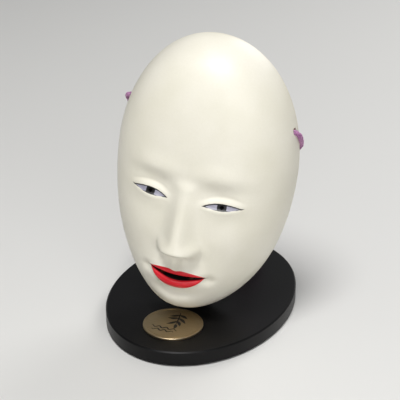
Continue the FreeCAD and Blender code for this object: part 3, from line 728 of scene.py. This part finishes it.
def paint(piece):
    place = unhang(get_points(piece))
    x, z = place[:, 0], place[:, 2]
    a = np.abs(x)
    eye = eye_inside(a, z)
    upper, lower = eye_margins(a)
    lid_line = np.minimum(eye + 0.3, 0.8 - (upper - z))
    lower_line = np.minimum(eye + 0.15, 0.22 - (z - lower))
    past = (a - EYE_MIDDLE - EYE_REACH + 1.5) / EYE_TAIL
    tail_level = EYE_LEVEL + 0.9 + 0.9 * past
    tail = 0.55 * (1 - past) - np.abs(z - tail_level)
    tail = np.where((past > 0) & (past < 1), tail, -1.0)
    pupil = np.minimum(eye + 0.2, PUPIL / 2 - np.hypot(a - EYE_MIDDLE, z - EYE_LEVEL - 0.4))
    top, high, low, bottom = lip_lines(x)
    # The gap between the lips is painted black as shade, also where it is only a shallow recess.
    mouth = mouth_inside(x, z)
    lips = np.minimum(np.minimum(top - z, z - bottom), (MOUTH_REACH - 0.6 - a) * 0.6)
    # A dark line along each mouth-corner crease: painted shade.
    past = (a - MOUTH_REACH + 3) / 4.5
    corner = 0.55 * (1 - np.abs(past)) - np.abs(z - MOUTH_LEVEL - 2.0 * (a / MOUTH_REACH) ** 2)
    corner = np.where(np.abs(past) < 1, corner, -1.0)
    teeth = np.minimum(np.minimum(high - 0.4 - z, z - high + 1.8), (13.5 - a) * 0.3)
    # Ink lines and pupils, with the painted shade of the mouth's gap and corners.
    ink_and_shade = np.maximum.reduce([lid_line, lower_line, tail, pupil, mouth, corner])
    set_attribute(piece, "eye", eye)
    set_attribute(piece, "ink_and_shade", ink_and_shade)
    set_attribute(piece, "lips", lips)
    set_attribute(piece, "teeth", teeth)
    aged = (1 - ramp(0.6, 4.5, -place[:, 1])) * (0.12 + 0.78 * ramp(40, 85, -z))
    set_attribute(piece, "aged_rim", aged)


paint(coat)
paint(wood)
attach(coat, "mask")
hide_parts("gofun_coat")
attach(wood, "mask")
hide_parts("mask_body")

# %% [markdown]
# ## Finishes
#
# A finish starts from the real material and how its surface was made. One small function adds a
# node with its settings and links, and one turns an sRGB colour into the linear one that the
# shader needs. Patterns read Object coordinates, in metres, so their scale comes from a real size.

# %% Helpers for finishes


def linear(colour):
    """An sRGB hex colour as linear red, green, blue and alpha."""
    parts = [int(colour[k:k + 2], 16) / 255 for k in (1, 3, 5)]
    return (*[c / 12.92 if c <= 0.04045 else ((c + 0.055) / 1.055) ** 2.4 for c in parts], 1)


def put(material, kind, inputs=None, **settings):
    """Adds a node; inputs are values, or sockets of other nodes, by the input's name or number."""
    made = material.node_tree.nodes.new(kind)
    for name, value in settings.items():
        setattr(made, name, value)
    for key, value in (inputs or {}).items():
        if isinstance(value, bpy.types.NodeSocket):
            material.node_tree.links.new(value, made.inputs[key])
        else:
            made.inputs[key].default_value = value
    return made


def new_finish(name, colour, roughness, **values):
    """A material with one Principled shader, and that shader."""
    material = bpy.data.materials.new(name)
    material.use_nodes = True
    shader = material.node_tree.nodes["Principled BSDF"]
    shader.inputs["Base Color"].default_value = linear(colour)
    shader.inputs["Roughness"].default_value = roughness
    for key, value in values.items():
        shader.inputs[key.replace("_", " ")].default_value = value
    return material, shader


def link(material, socket, shader, name):
    material.node_tree.links.new(socket, shader.inputs[name])


def places(material):
    return put(material, "ShaderNodeTexCoord").outputs["Object"]


def noise(material, size_mm, detail=3.0, vector=None):
    """Noise whose blots are about size_mm across."""
    vector = vector or places(material)
    inputs = {"Vector": vector, "Scale": 1 / (size_mm * MM), "Detail": detail}
    return put(material, "ShaderNodeTexNoise", inputs).outputs["Fac"]


def between(material, factor, low, high):
    """Spreads a factor over the range from low to high."""
    inputs = {"Value": factor, "From Min": 0.3, "From Max": 0.7, "To Min": low, "To Max": high}
    return put(material, "ShaderNodeMapRange", inputs).outputs["Result"]


def mix(material, factor, first, second):
    made = put(material, "ShaderNodeMix", {0: factor, 6: first, 7: second}, data_type="RGBA")
    return made.outputs[2]


def bump(material, height, depth_mm, shader, strength=1.0, after=None):
    inputs = {"Height": height, "Distance": depth_mm * MM, "Strength": strength}
    if after:
        inputs["Normal"] = after
    made = put(material, "ShaderNodeBump", inputs).outputs["Normal"]
    link(material, made, shader, "Normal")
    return made


def coat_with(material, *pieces):
    """Makes this the only finish of each piece."""
    for piece in pieces:
        piece.data.materials.clear()
        piece.data.materials.append(material)


# %% [markdown]
# ## Gofun and paint
#
# Gofun is ground oyster shell in hide glue, brushed on in many layers and rubbed smooth. It is a
# warm white with a soft sheen, faint brush marks and slightly uneven density. The lips are
# vermilion red, the whites of the eyes a greyed violet, and the lines and pupils are ink. The gap
# between the lips and the creases at the mouth's corners are painted black as shade.

# %% Gofun
SOFT_EDGE = 0.14        # half the width of a painted edge, in mm


def painted(material, base, attribute, colour, soft=SOFT_EDGE, start=0.0):
    """Lays a colour over the base wherever the attribute is above start."""
    area = put(material, "ShaderNodeAttribute", attribute_name=attribute).outputs["Fac"]
    inputs = {"Value": area, "From Min": start - soft, "From Max": start + soft}
    edge = put(material, "ShaderNodeMapRange", inputs, interpolation_type="SMOOTHSTEP").outputs["Result"]
    return mix(material, edge, base, colour), edge


gofun, shader = new_finish("brushed_gofun", "#EDE9DA", 0.42, IOR=1.5)
mottle = noise(gofun, 38, 2)
skin_colour = mix(gofun, between(gofun, mottle, 0, 1), linear("#DEDACA"), linear("#E6E2D5"))
grains = noise(gofun, 1.6, 4)
skin_colour = mix(gofun, between(gofun, grains, 0.0, 0.10), skin_colour, linear("#CFC8B2"))
rim_share = put(gofun, "ShaderNodeAttribute", attribute_name="aged_rim").outputs["Fac"]
skin_colour = mix(gofun, rim_share, skin_colour, linear("#D3BB8E"))
eye_white = mix(gofun, between(gofun, noise(gofun, 5, 2), 0, 1), linear("#8F8D9C"), linear("#A3A1AE"))
face_colour, _ = painted(gofun, skin_colour, "eye", eye_white)
lip_red = mix(gofun, between(gofun, noise(gofun, 3.5, 3), 0, 1), linear("#C8061C"), linear("#D60A22"))
face_colour, _ = painted(gofun, face_colour, "lips", lip_red)
# Ink, and painted shade in the mouth's gap and corners.
face_colour, _ = painted(gofun, face_colour, "ink_and_shade", linear("#0C0B0C"))
face_colour, _ = painted(gofun, face_colour, "teeth", linear("#77757F"))
link(gofun, face_colour, shader, "Base Color")
brush = put(
    gofun, "ShaderNodeMapping", {"Vector": places(gofun), "Scale": (1.0, 1.0, 0.22)}
).outputs["Vector"]
strokes = noise(gofun, 1.1, 4, brush)
link(gofun, between(gofun, strokes, 0.40, 0.48), shader, "Roughness")
first = bump(gofun, strokes, 0.035, shader)
bump(gofun, noise(gofun, 14, 2), 0.25, shader, after=first)
coat_with(gofun, coat)

# %% [markdown]
# ## Carved cypress
#
# Hinoki is pale tan with fine straight grain, about 1.2 mm a ring. The rim is bare wood, and the
# hollow is brushed with thin dark-brown lacquer, which keeps out the wearer's breath. The
# lacquer starts just inside the rim. The walls of the eye and mouth openings are painted black as
# shade.

# %% Cypress and lacquer
cypress, shader = new_finish("lacquered_hinoki", "#C9A46C", 0.5, IOR=1.5)
grain_way = put(
    cypress, "ShaderNodeMapping", {"Vector": places(cypress), "Scale": (1.0, 1.0, 0.06)}
).outputs["Vector"]
rings = put(
    cypress, "ShaderNodeTexWave",
    {"Vector": grain_way, "Scale": 1 / (4 * math.pi * 1.2 * MM), "Distortion": 2.5, "Detail": 3.0},
).outputs["Fac"]
wood_colour = mix(cypress, rings, linear("#D3B27C"), linear("#B98F55"))
flecks = noise(cypress, 2.2, 4, grain_way)
wood_colour = mix(cypress, between(cypress, flecks, 0, 0.35), wood_colour, linear("#9A7443"))
lacquer_cloud = between(cypress, noise(cypress, 9, 4), 0, 1)
lacquer_colour = mix(cypress, lacquer_cloud, linear("#24130B"), linear("#3C2012"))
wood_colour, inside_share = painted(cypress, wood_colour, "hollow", lacquer_colour, 0.5, 1.5)
# Painted shade: the walls of the eye and mouth openings are black.
wood_colour, _ = painted(cypress, wood_colour, "opening_wall_shade", linear("#0C0B0C"))
link(cypress, wood_colour, shader, "Base Color")
gloss = put(
    cypress, "ShaderNodeMapRange", {"Value": inside_share, "To Min": 0.55, "To Max": 0.28}
).outputs["Result"]
link(cypress, gloss, shader, "Roughness")
bump(cypress, flecks, 0.06, shader)
wall_place = unhang(get_points(wood))
outer_depth = Dome(COAT, COAT, COAT).depth(wall_place[:, 0], wall_place[:, 2])
in_wall = Dome(RIM_WALL - 1.5, CROWN_WALL - 1.5, 0, 0.0)
half = np.maximum(1e-3, in_wall.half_width(wall_place[:, 2]))
height_share = in_wall.share(wall_place[:, 2])
within = np.minimum(half - np.abs(wall_place[:, 0]), (1 - height_share) * in_wall.up / 2)
within = np.where(height_share < 1, within, -5.0)
depth_gap = outer_depth + wall_place[:, 1]
set_attribute(wood, "hollow", np.minimum(within, depth_gap - 2.5))
# Where the walls of the openings are painted black as shade.
eye_wall = PUPIL / 2 + 0.3 - np.hypot(np.abs(wall_place[:, 0]) - EYE_MIDDLE, wall_place[:, 2] - EYE_LEVEL)
set_attribute(wood, "opening_wall_shade", np.maximum(eye_wall, mouth_inside(wall_place[:, 0], wall_place[:, 2])))
coat_with(cypress, wood)

# %% [markdown]
# ## Braided silk
#
# Each bundle is many fine threads laid side by side, so it has soft lines along it and a sheen at
# grazing angles. Dyed silk varies a little from bundle to bundle. The low places of each bundle,
# under the crossings and on its inner side, are painted darker as shade.

# %% Braided silk
silk, shader = new_finish("purple_braided_silk", "#7B3F74", 0.5, Sheen_Weight=0.5, Sheen_Roughness=0.35)
shader.inputs["Sheen Tint"].default_value = linear("#E7B9DA")
bundle_number = put(silk, "ShaderNodeAttribute", attribute_name="bundle").outputs["Fac"]
along = put(silk, "ShaderNodeAttribute", attribute_name="along").outputs["Fac"]
bundle_hue = put(
    silk, "ShaderNodeTexWhiteNoise", {"W": bundle_number}, noise_dimensions="1D"
).outputs["Value"]
raised = put(silk, "ShaderNodeAttribute", attribute_name="raised").outputs["Fac"]
# Painted shade: the lower a point lies in the braid, the nearer its colour comes to the dark purple.
crossing_shade = put(
    silk, "ShaderNodeMapRange", {"Value": raised, "From Min": -1.3, "From Max": 1.7}
).outputs["Result"]
silk_colour = mix(silk, bundle_hue, linear("#8A4580"), linear("#BC86B0"))
silk_colour = mix(silk, crossing_shade, linear("#3A1235"), silk_colour)
threads = noise(silk, 0.5, 2)
silk_colour = mix(silk, between(silk, threads, 0, 0.35), silk_colour, linear("#D5A8CB"))
link(silk, silk_colour, shader, "Base Color")
bump(silk, threads, 0.12, shader)
coat_with(silk, *cords, *knots)

# %% [markdown]
# ## Board, stand and small parts
#
# The board is lacquered black and rubbed to a satin. The stand behind the mask is powder-coated
# steel with a polished ball, zinc-plated screws and a moulded knob.

# %% Satin lacquer of the board
board_lacquer, shader = new_finish("satin_black_lacquer", "#090809", 0.3, IOR=1.5, Specular_IOR_Level=0.2)
dust = noise(board_lacquer, 0.9, 5)
cloud = noise(board_lacquer, 60, 2)
board_black = mix(board_lacquer, between(board_lacquer, cloud, 0, 1), linear("#060506"), linear("#0C0B0C"))
link(board_lacquer, board_black, shader, "Base Color")
link(board_lacquer, between(board_lacquer, dust, 0.34, 0.44), shader, "Roughness")
bump(board_lacquer, dust, 0.012, shader)


# %% Metals and plastics
def speckled(name, colour, colour2, roughness, spread, grain_mm, depth_mm, **values):
    """A finish whose colour, gloss and surface all vary with one grain."""
    made, shader = new_finish(name, colour, roughness, **values)
    grain = noise(made, grain_mm, 3)
    link(made, mix(made, between(made, grain, 0, 1), linear(colour), linear(colour2)), shader, "Base Color")
    link(made, between(made, grain, roughness - spread, roughness + spread), shader, "Roughness")
    bump(made, grain, depth_mm, shader)
    return made


powder_coat = speckled("black_powder_coated_steel", "#131314", "#1C1C1E", 0.48, 0.06, 0.6, 0.05)
polished = speckled("polished_steel", "#C9CACC", "#B9BBBE", 0.14, 0.04, 1.5, 0.003, Metallic=1.0)
zinc = speckled("zinc_plated_steel", "#B9BEC3", "#9EA5AA", 0.32, 0.08, 1.0, 0.01, Metallic=1.0)
phenolic = speckled("moulded_phenolic", "#171513", "#211E1B", 0.36, 0.06, 1.2, 0.02)
foam = speckled("white_foam_tape", "#D9D6CE", "#C4C0B6", 0.85, 0.05, 0.5, 0.08)
rubber = speckled("moulded_black_rubber", "#1A1A1A", "#262524", 0.72, 0.06, 0.8, 0.03)
felt = speckled("pressed_wool_felt", "#161515", "#2B2929", 0.95, 0.03, 0.7, 0.35, Sheen_Weight=0.4)
pad_felt = speckled("grey_wool_felt", "#6A6862", "#8A8880", 0.95, 0.03, 0.8, 0.35, Sheen_Weight=0.5)

finish_of = {
    "base_board": board_lacquer, "plaque_tape": foam, "post_flange": powder_coat, "post": powder_coat,
    "flange_screws": zinc, "ball_stud": polished, "clamp_front": powder_coat, "clamp_rear": powder_coat,
    "clamp_nut": zinc, "knob_washer": zinc, "knob_grip": phenolic, "knob_screw": zinc,
    "saddle_screws": zinc, "bow_saddle": powder_coat, "hanger_bow": polished, "pad_stem": zinc,
    "cord_rest": powder_coat, "rest_strut": zinc, "spine_bolt": zinc, "hanger_spine": powder_coat,
}
for node, material in finish_of.items():
    coat_with(material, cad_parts[node])
print("finished CAD nodes:", len(finish_of))

# %% [markdown]
# ## Felt under the board
#
# A sheet of pressed felt is glued under the board, cut a little smaller so that it doesn't show.
# Its cut edge is soft, so it is a disc pulled to an oval, extruded and rounded.

# %% Felt underlay
felt_low, felt_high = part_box("felt_underlay")
bpy.ops.object.select_all(action="DESELECT")
bpy.ops.mesh.primitive_circle_add(vertices=160, radius=1, fill_type="NGON")
underlay = bpy.context.object
underlay.name = "felt_sheet"
oval = get_points(underlay)
oval[:, 0] *= felt_high[0]
oval[:, 1] *= felt_high[1]
oval[:, 2] = felt_low[2]
set_points(underlay, oval)
bpy.ops.object.mode_set(mode="EDIT")
bpy.ops.mesh.select_all(action="SELECT")
bpy.ops.mesh.extrude_region_move(TRANSFORM_OT_translate={"value": (0, 0, felt_high[2] - felt_low[2])})
bpy.ops.mesh.select_all(action="SELECT")
bpy.ops.mesh.normals_make_consistent(inside=False)
bpy.ops.object.mode_set(mode="OBJECT")
rounding = underlay.modifiers.new("soft_edge", "BEVEL")
rounding.width, rounding.segments, rounding.limit_method = 0.4 * MM, 3, "ANGLE"
apply_modifiers(underlay)
bpy.ops.object.shade_smooth_by_angle(angle=math.radians(40))
coat_with(felt, underlay)
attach(underlay, "stand")
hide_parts("felt_underlay")

# %% [markdown]
# ## The round plaque
#
# The plaque is a brass disc, brushed and lacquered to a champagne colour, with a fine groove just
# inside its edge. It is turned from a cylinder: the top is inset twice, and the ring between the
# insets goes down. Its print is an ornament of this maker's own: a bamboo sprig over two waves.

# %% Plaque disc
plaque_low, plaque_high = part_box("round_plaque")
plaque_middle = (plaque_low + plaque_high) / 2
plaque_radius = (plaque_high[0] - plaque_low[0]) / 2
thick = plaque_high[2] - plaque_low[2]
bpy.ops.object.select_all(action="DESELECT")
bpy.ops.mesh.primitive_cylinder_add(vertices=128, radius=plaque_radius, depth=thick, location=plaque_middle)
plaque = bpy.context.object
plaque.name = "brass_plaque"
bpy.ops.object.transform_apply(location=True, rotation=True, scale=True)
bpy.ops.object.mode_set(mode="EDIT")
bpy.ops.mesh.select_mode(type="FACE")
bpy.ops.mesh.select_all(action="DESELECT")
bpy.ops.object.mode_set(mode="OBJECT")
for face in plaque.data.polygons:
    face.select = face.normal.z > 0.9
bpy.ops.object.mode_set(mode="EDIT")
GROOVE_IN, GROOVE_WIDTH, GROOVE_DEPTH = 1.5 * MM, 0.8 * MM, 0.25 * MM
bpy.ops.mesh.inset(thickness=0.25 * MM)
bpy.ops.mesh.inset(thickness=GROOVE_IN)
bpy.ops.mesh.inset(thickness=GROOVE_WIDTH)
bpy.ops.object.mode_set(mode="OBJECT")
top = plaque_high[2]
points = get_points(plaque)
reach = np.hypot(points[:, 0] - plaque_middle[0], points[:, 1] - plaque_middle[1])
on_top = np.abs(points[:, 2] - top) < 1e-6
points[on_top & (reach > plaque_radius - 1e-5), 2] -= 0.25 * MM
set_points(plaque, points)
groove_middle = plaque_radius - 0.25 * MM - GROOVE_IN - GROOVE_WIDTH / 2


def in_groove(face):
    """Whether this face of the plaque's top lies in the ring that is sunk as a groove."""
    from_middle = (face.center - Vector(plaque_middle)).to_2d().length
    flat = face.normal.z > 0.9 and len(face.vertices) == 4
    return flat and abs(from_middle - groove_middle) < GROOVE_WIDTH / 2


groove = [face for face in plaque.data.polygons if in_groove(face)]
for face in plaque.data.polygons:
    face.select = False
for face in groove:
    face.select = True
bpy.ops.object.mode_set(mode="EDIT")
bpy.ops.mesh.extrude_region_move(TRANSFORM_OT_translate={"value": (0, 0, -GROOVE_DEPTH)})
bpy.ops.object.mode_set(mode="OBJECT")
bpy.ops.object.shade_smooth_by_angle(angle=math.radians(30))
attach(plaque, "stand")
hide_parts("round_plaque")

brass, shader = new_finish("brushed_champagne_brass", "#B9A585", 0.34, Metallic=1.0)
brush_way = put(
    brass, "ShaderNodeMapping", {"Vector": places(brass), "Scale": (0.05, 1.0, 1.0)}
).outputs["Vector"]
hairlines = noise(brass, 0.5, 3, brush_way)
brass_colour = mix(brass, between(brass, hairlines, 0, 1), linear("#B3A080"), linear("#C6B494"))
link(brass, brass_colour, shader, "Base Color")
link(brass, between(brass, hairlines, 0.30, 0.42), shader, "Roughness")
bump(brass, hairlines, 0.012, shader)
coat_with(brass, plaque)

# %% Printed ornament
PRINT = 0.05            # thickness of the ink, in mm


def flat_shape(name, outline):
    """A thin printed shape with this outline of (x, y) points from the plaque's middle, in mm."""
    bpy.ops.object.select_all(action="DESELECT")
    bpy.ops.mesh.primitive_circle_add(vertices=len(outline), radius=1, fill_type="NGON")
    piece = bpy.context.object
    piece.name = name
    low = top / MM + 0.01
    middle_x, middle_y = plaque_middle[0] / MM, plaque_middle[1] / MM
    set_points(piece, [((middle_x + x) * MM, (middle_y + y) * MM, low * MM) for x, y in outline])
    bpy.ops.object.mode_set(mode="EDIT")
    bpy.ops.mesh.select_all(action="SELECT")
    bpy.ops.mesh.extrude_region_move(TRANSFORM_OT_translate={"value": (0, 0, PRINT * MM)})
    bpy.ops.mesh.select_all(action="SELECT")
    bpy.ops.mesh.normals_make_consistent(inside=False)
    bpy.ops.object.mode_set(mode="OBJECT")
    return piece


def leaf(start, angle, length, width):
    """A slender leaf with its stalk at start."""
    share = np.linspace(0, 1, 15)
    half = width / 2 * np.sin(math.pi * share ** 0.8)
    line = np.stack([share * length, 0.06 * length * np.sin(math.pi * share)], 1)
    up = np.stack([0 * half, half], 1)
    sides = np.concatenate([line + up, (line - up)[-2:0:-1]])
    c, s = math.cos(math.radians(angle)), math.sin(math.radians(angle))
    return [(start[0] + x * c - y * s, start[1] + x * s + y * c) for x, y in sides]


def ribbon(points, width):
    line = np.array(points, dtype=float)
    ahead = np.gradient(line, axis=0)
    ahead /= np.linalg.norm(ahead, axis=1)[:, None]
    side = np.stack([-ahead[:, 1], ahead[:, 0]], 1)
    taper = width / 2 * (0.35 + 0.65 * np.sin(math.pi * np.linspace(0.02, 0.98, len(line))))[:, None]
    return [tuple(p) for p in np.concatenate([line + side * taper, (line - side * taper)[::-1]])]


stem = [(-0.5 + 0.4 * k - 0.012 * k * k, 15.5 - 1.45 * k) for k in range(12)]
shapes = [ribbon(stem, 1.1)]
LEAVES = (
    (2, -25, 6.5), (2, -150, 6.0), (5, -38, 7.5), (5, -165, 6.5),
    (8, -55, 6.0), (8, -135, 7.0), (11, -80, 5.5),
)
for k, angle, length in LEAVES:
    shapes.append(leaf(stem[k], angle, 1.3 * length, 2.6))
for row, reach_x in ((-8.4, 10.5), (-12.0, 8.5)):
    x = np.linspace(-reach_x, reach_x, 60)
    shapes.append(ribbon(list(zip(x - 3.5, row + 1.0 * np.sin(x * 1.1))), 1.2))
ornament = join([flat_shape("print_part", shape) for shape in shapes], "plaque_print")
ink_print = speckled("screen_printed_ink", "#121110", "#1E1C1A", 0.5, 0.05, 0.6, 0.01)
coat_with(ink_print, ornament)
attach(ornament, "stand")

# %% [markdown]
# ## Rubber tips and the felt stop
#
# The two rubber tips are moulded caps with a rolled lip, pushed over the ends of the bow. The stop
# that steadies the face from inside is a thick felt disc with crowned faces.

# %% Rubber tips


def turned_piece(name, profile, foot, way, around=48):
    """Spins a profile of (radius, height) points in mm round the line from foot along way."""
    bpy.ops.object.select_all(action="DESELECT")
    bpy.ops.mesh.primitive_grid_add(x_subdivisions=around, y_subdivisions=len(profile) - 1, size=2)
    ring = bpy.context.object
    ring.name = name
    turns = np.arange(around + 1) * 2 * math.pi / around
    rings = [np.stack([r * np.cos(turns), r * np.sin(turns), np.full(around + 1, h)], 1) for r, h in profile]
    set_points(ring, np.concatenate(rings))
    bpy.ops.object.mode_set(mode="EDIT")
    bpy.ops.mesh.select_all(action="SELECT")
    bpy.ops.mesh.remove_doubles(threshold=1e-4)
    bpy.ops.mesh.normals_make_consistent(inside=False)
    bpy.ops.object.mode_set(mode="OBJECT")
    axes = np.array(Vector(way).to_track_quat("Z", "Y").to_matrix())
    set_points(ring, (get_points(ring) @ axes.T + np.array(foot)) * MM)
    only(ring)
    bpy.ops.object.shade_smooth_by_angle(angle=math.radians(40))
    return ring


up_mask = MASK_AXES[:, 2]
TIP, TIP_BORE, TIP_SKIRT = 4.0, 2.5, 6.0
dome_profile = [(TIP * math.cos(t), TIP * math.sin(t)) for t in np.linspace(0, math.pi / 2 - 0.02, 9)]
tip_profile = (
    [(0.02, -1.0), (TIP_BORE, -1.0), (TIP_BORE, -TIP_SKIRT), (TIP_BORE + 0.4, -TIP_SKIRT - 0.1)]
    + [(TIP - 0.1, -TIP_SKIRT)]
    + [(TIP, -TIP_SKIRT + 0.4), (TIP, -TIP_SKIRT + 1.2), (TIP - 0.35, -TIP_SKIRT + 1.7), (TIP - 0.3, -1.2)]
    + dome_profile + [(0.02, TIP)]
)
for node in ("left_tip", "right_tip"):
    low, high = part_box(node)
    middle = np.array([(a + b) / 2 / MM for a, b in zip(low, high)]) + up_mask * 1.0
    piece = turned_piece("rubber_" + node, tip_profile, middle, up_mask)
    coat_with(rubber, piece)
    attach(piece, "hanger")
    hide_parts(node)

# %% Felt stop
PAD_RADIUS, PAD_THICK, PAD_STEM = 8.0, 5.0, 2.5
forward = -MASK_AXES[:, 1]
pad_profile = [(PAD_STEM, 2.0), (PAD_STEM, 0.0), (4.5, -0.15)]
pad_profile += [(PAD_RADIUS - 1.2, 0.1), (PAD_RADIUS - 0.35, 0.5)]
pad_profile += [(PAD_RADIUS, 1.4), (PAD_RADIUS, PAD_THICK - 1.9), (PAD_RADIUS - 0.4, PAD_THICK - 0.9)]
pad_profile += [(PAD_RADIUS - 1.4, PAD_THICK - 0.25), (4.0, PAD_THICK), (0.02, PAD_THICK + 0.05)]
pad_profile = pad_profile + [(0.02, 2.0), (PAD_STEM, 2.0)]
low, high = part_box("stop_pad")
middle = np.array([(a + b) / 2 / MM for a, b in zip(low, high)])
pad = turned_piece("felt_stop", pad_profile, middle - forward * PAD_THICK / 2, forward)
coat_with(pad_felt, pad)
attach(pad, "hanger")
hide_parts("stop_pad")

# %% [markdown]
# ## Floor and light
#
# The mask stands on a plain pale floor. A large soft light above and in front shapes the face, a
# weaker one fills its left side, and one behind picks out the edge of the board.

# %% Floor and lights
bpy.ops.object.select_all(action="DESELECT")
bpy.ops.mesh.primitive_plane_add(size=8)
floor = bpy.context.object
floor.name = "floor"
floor_paint, shader = new_finish("pale_floor", "#D8D7D4", 0.6)
coat_with(floor_paint, floor)


def soft_light(name, place, size, power, colour="#FFFFFF"):
    bpy.ops.object.light_add(type="AREA", location=place)
    light = bpy.context.object
    light.name = name
    light.data.shape = "DISK"
    light.data.size = size
    light.data.energy = power
    light.data.color = linear(colour)[:3]
    light.rotation_euler = (Vector((0, -0.03, 0.12)) - Vector(place)).to_track_quat("-Z", "Y").to_euler()


soft_light("key_light", (0.05, -0.62, 1.45), 0.5, 17.0)
soft_light("fill_light", (0.75, -1.1, 0.55), 1.1, 6.5)
soft_light("edge_light", (0.3, 1.1, 0.9), 0.8, 7)
world = bpy.data.worlds.new("studio")
bpy.context.scene.world = world
world.use_nodes = True
world.node_tree.nodes["Background"].inputs["Color"].default_value = linear("#E8EAEC")
world.node_tree.nodes["Background"].inputs["Strength"].default_value = 0.25
bpy.context.scene.view_settings.view_transform = "Standard"
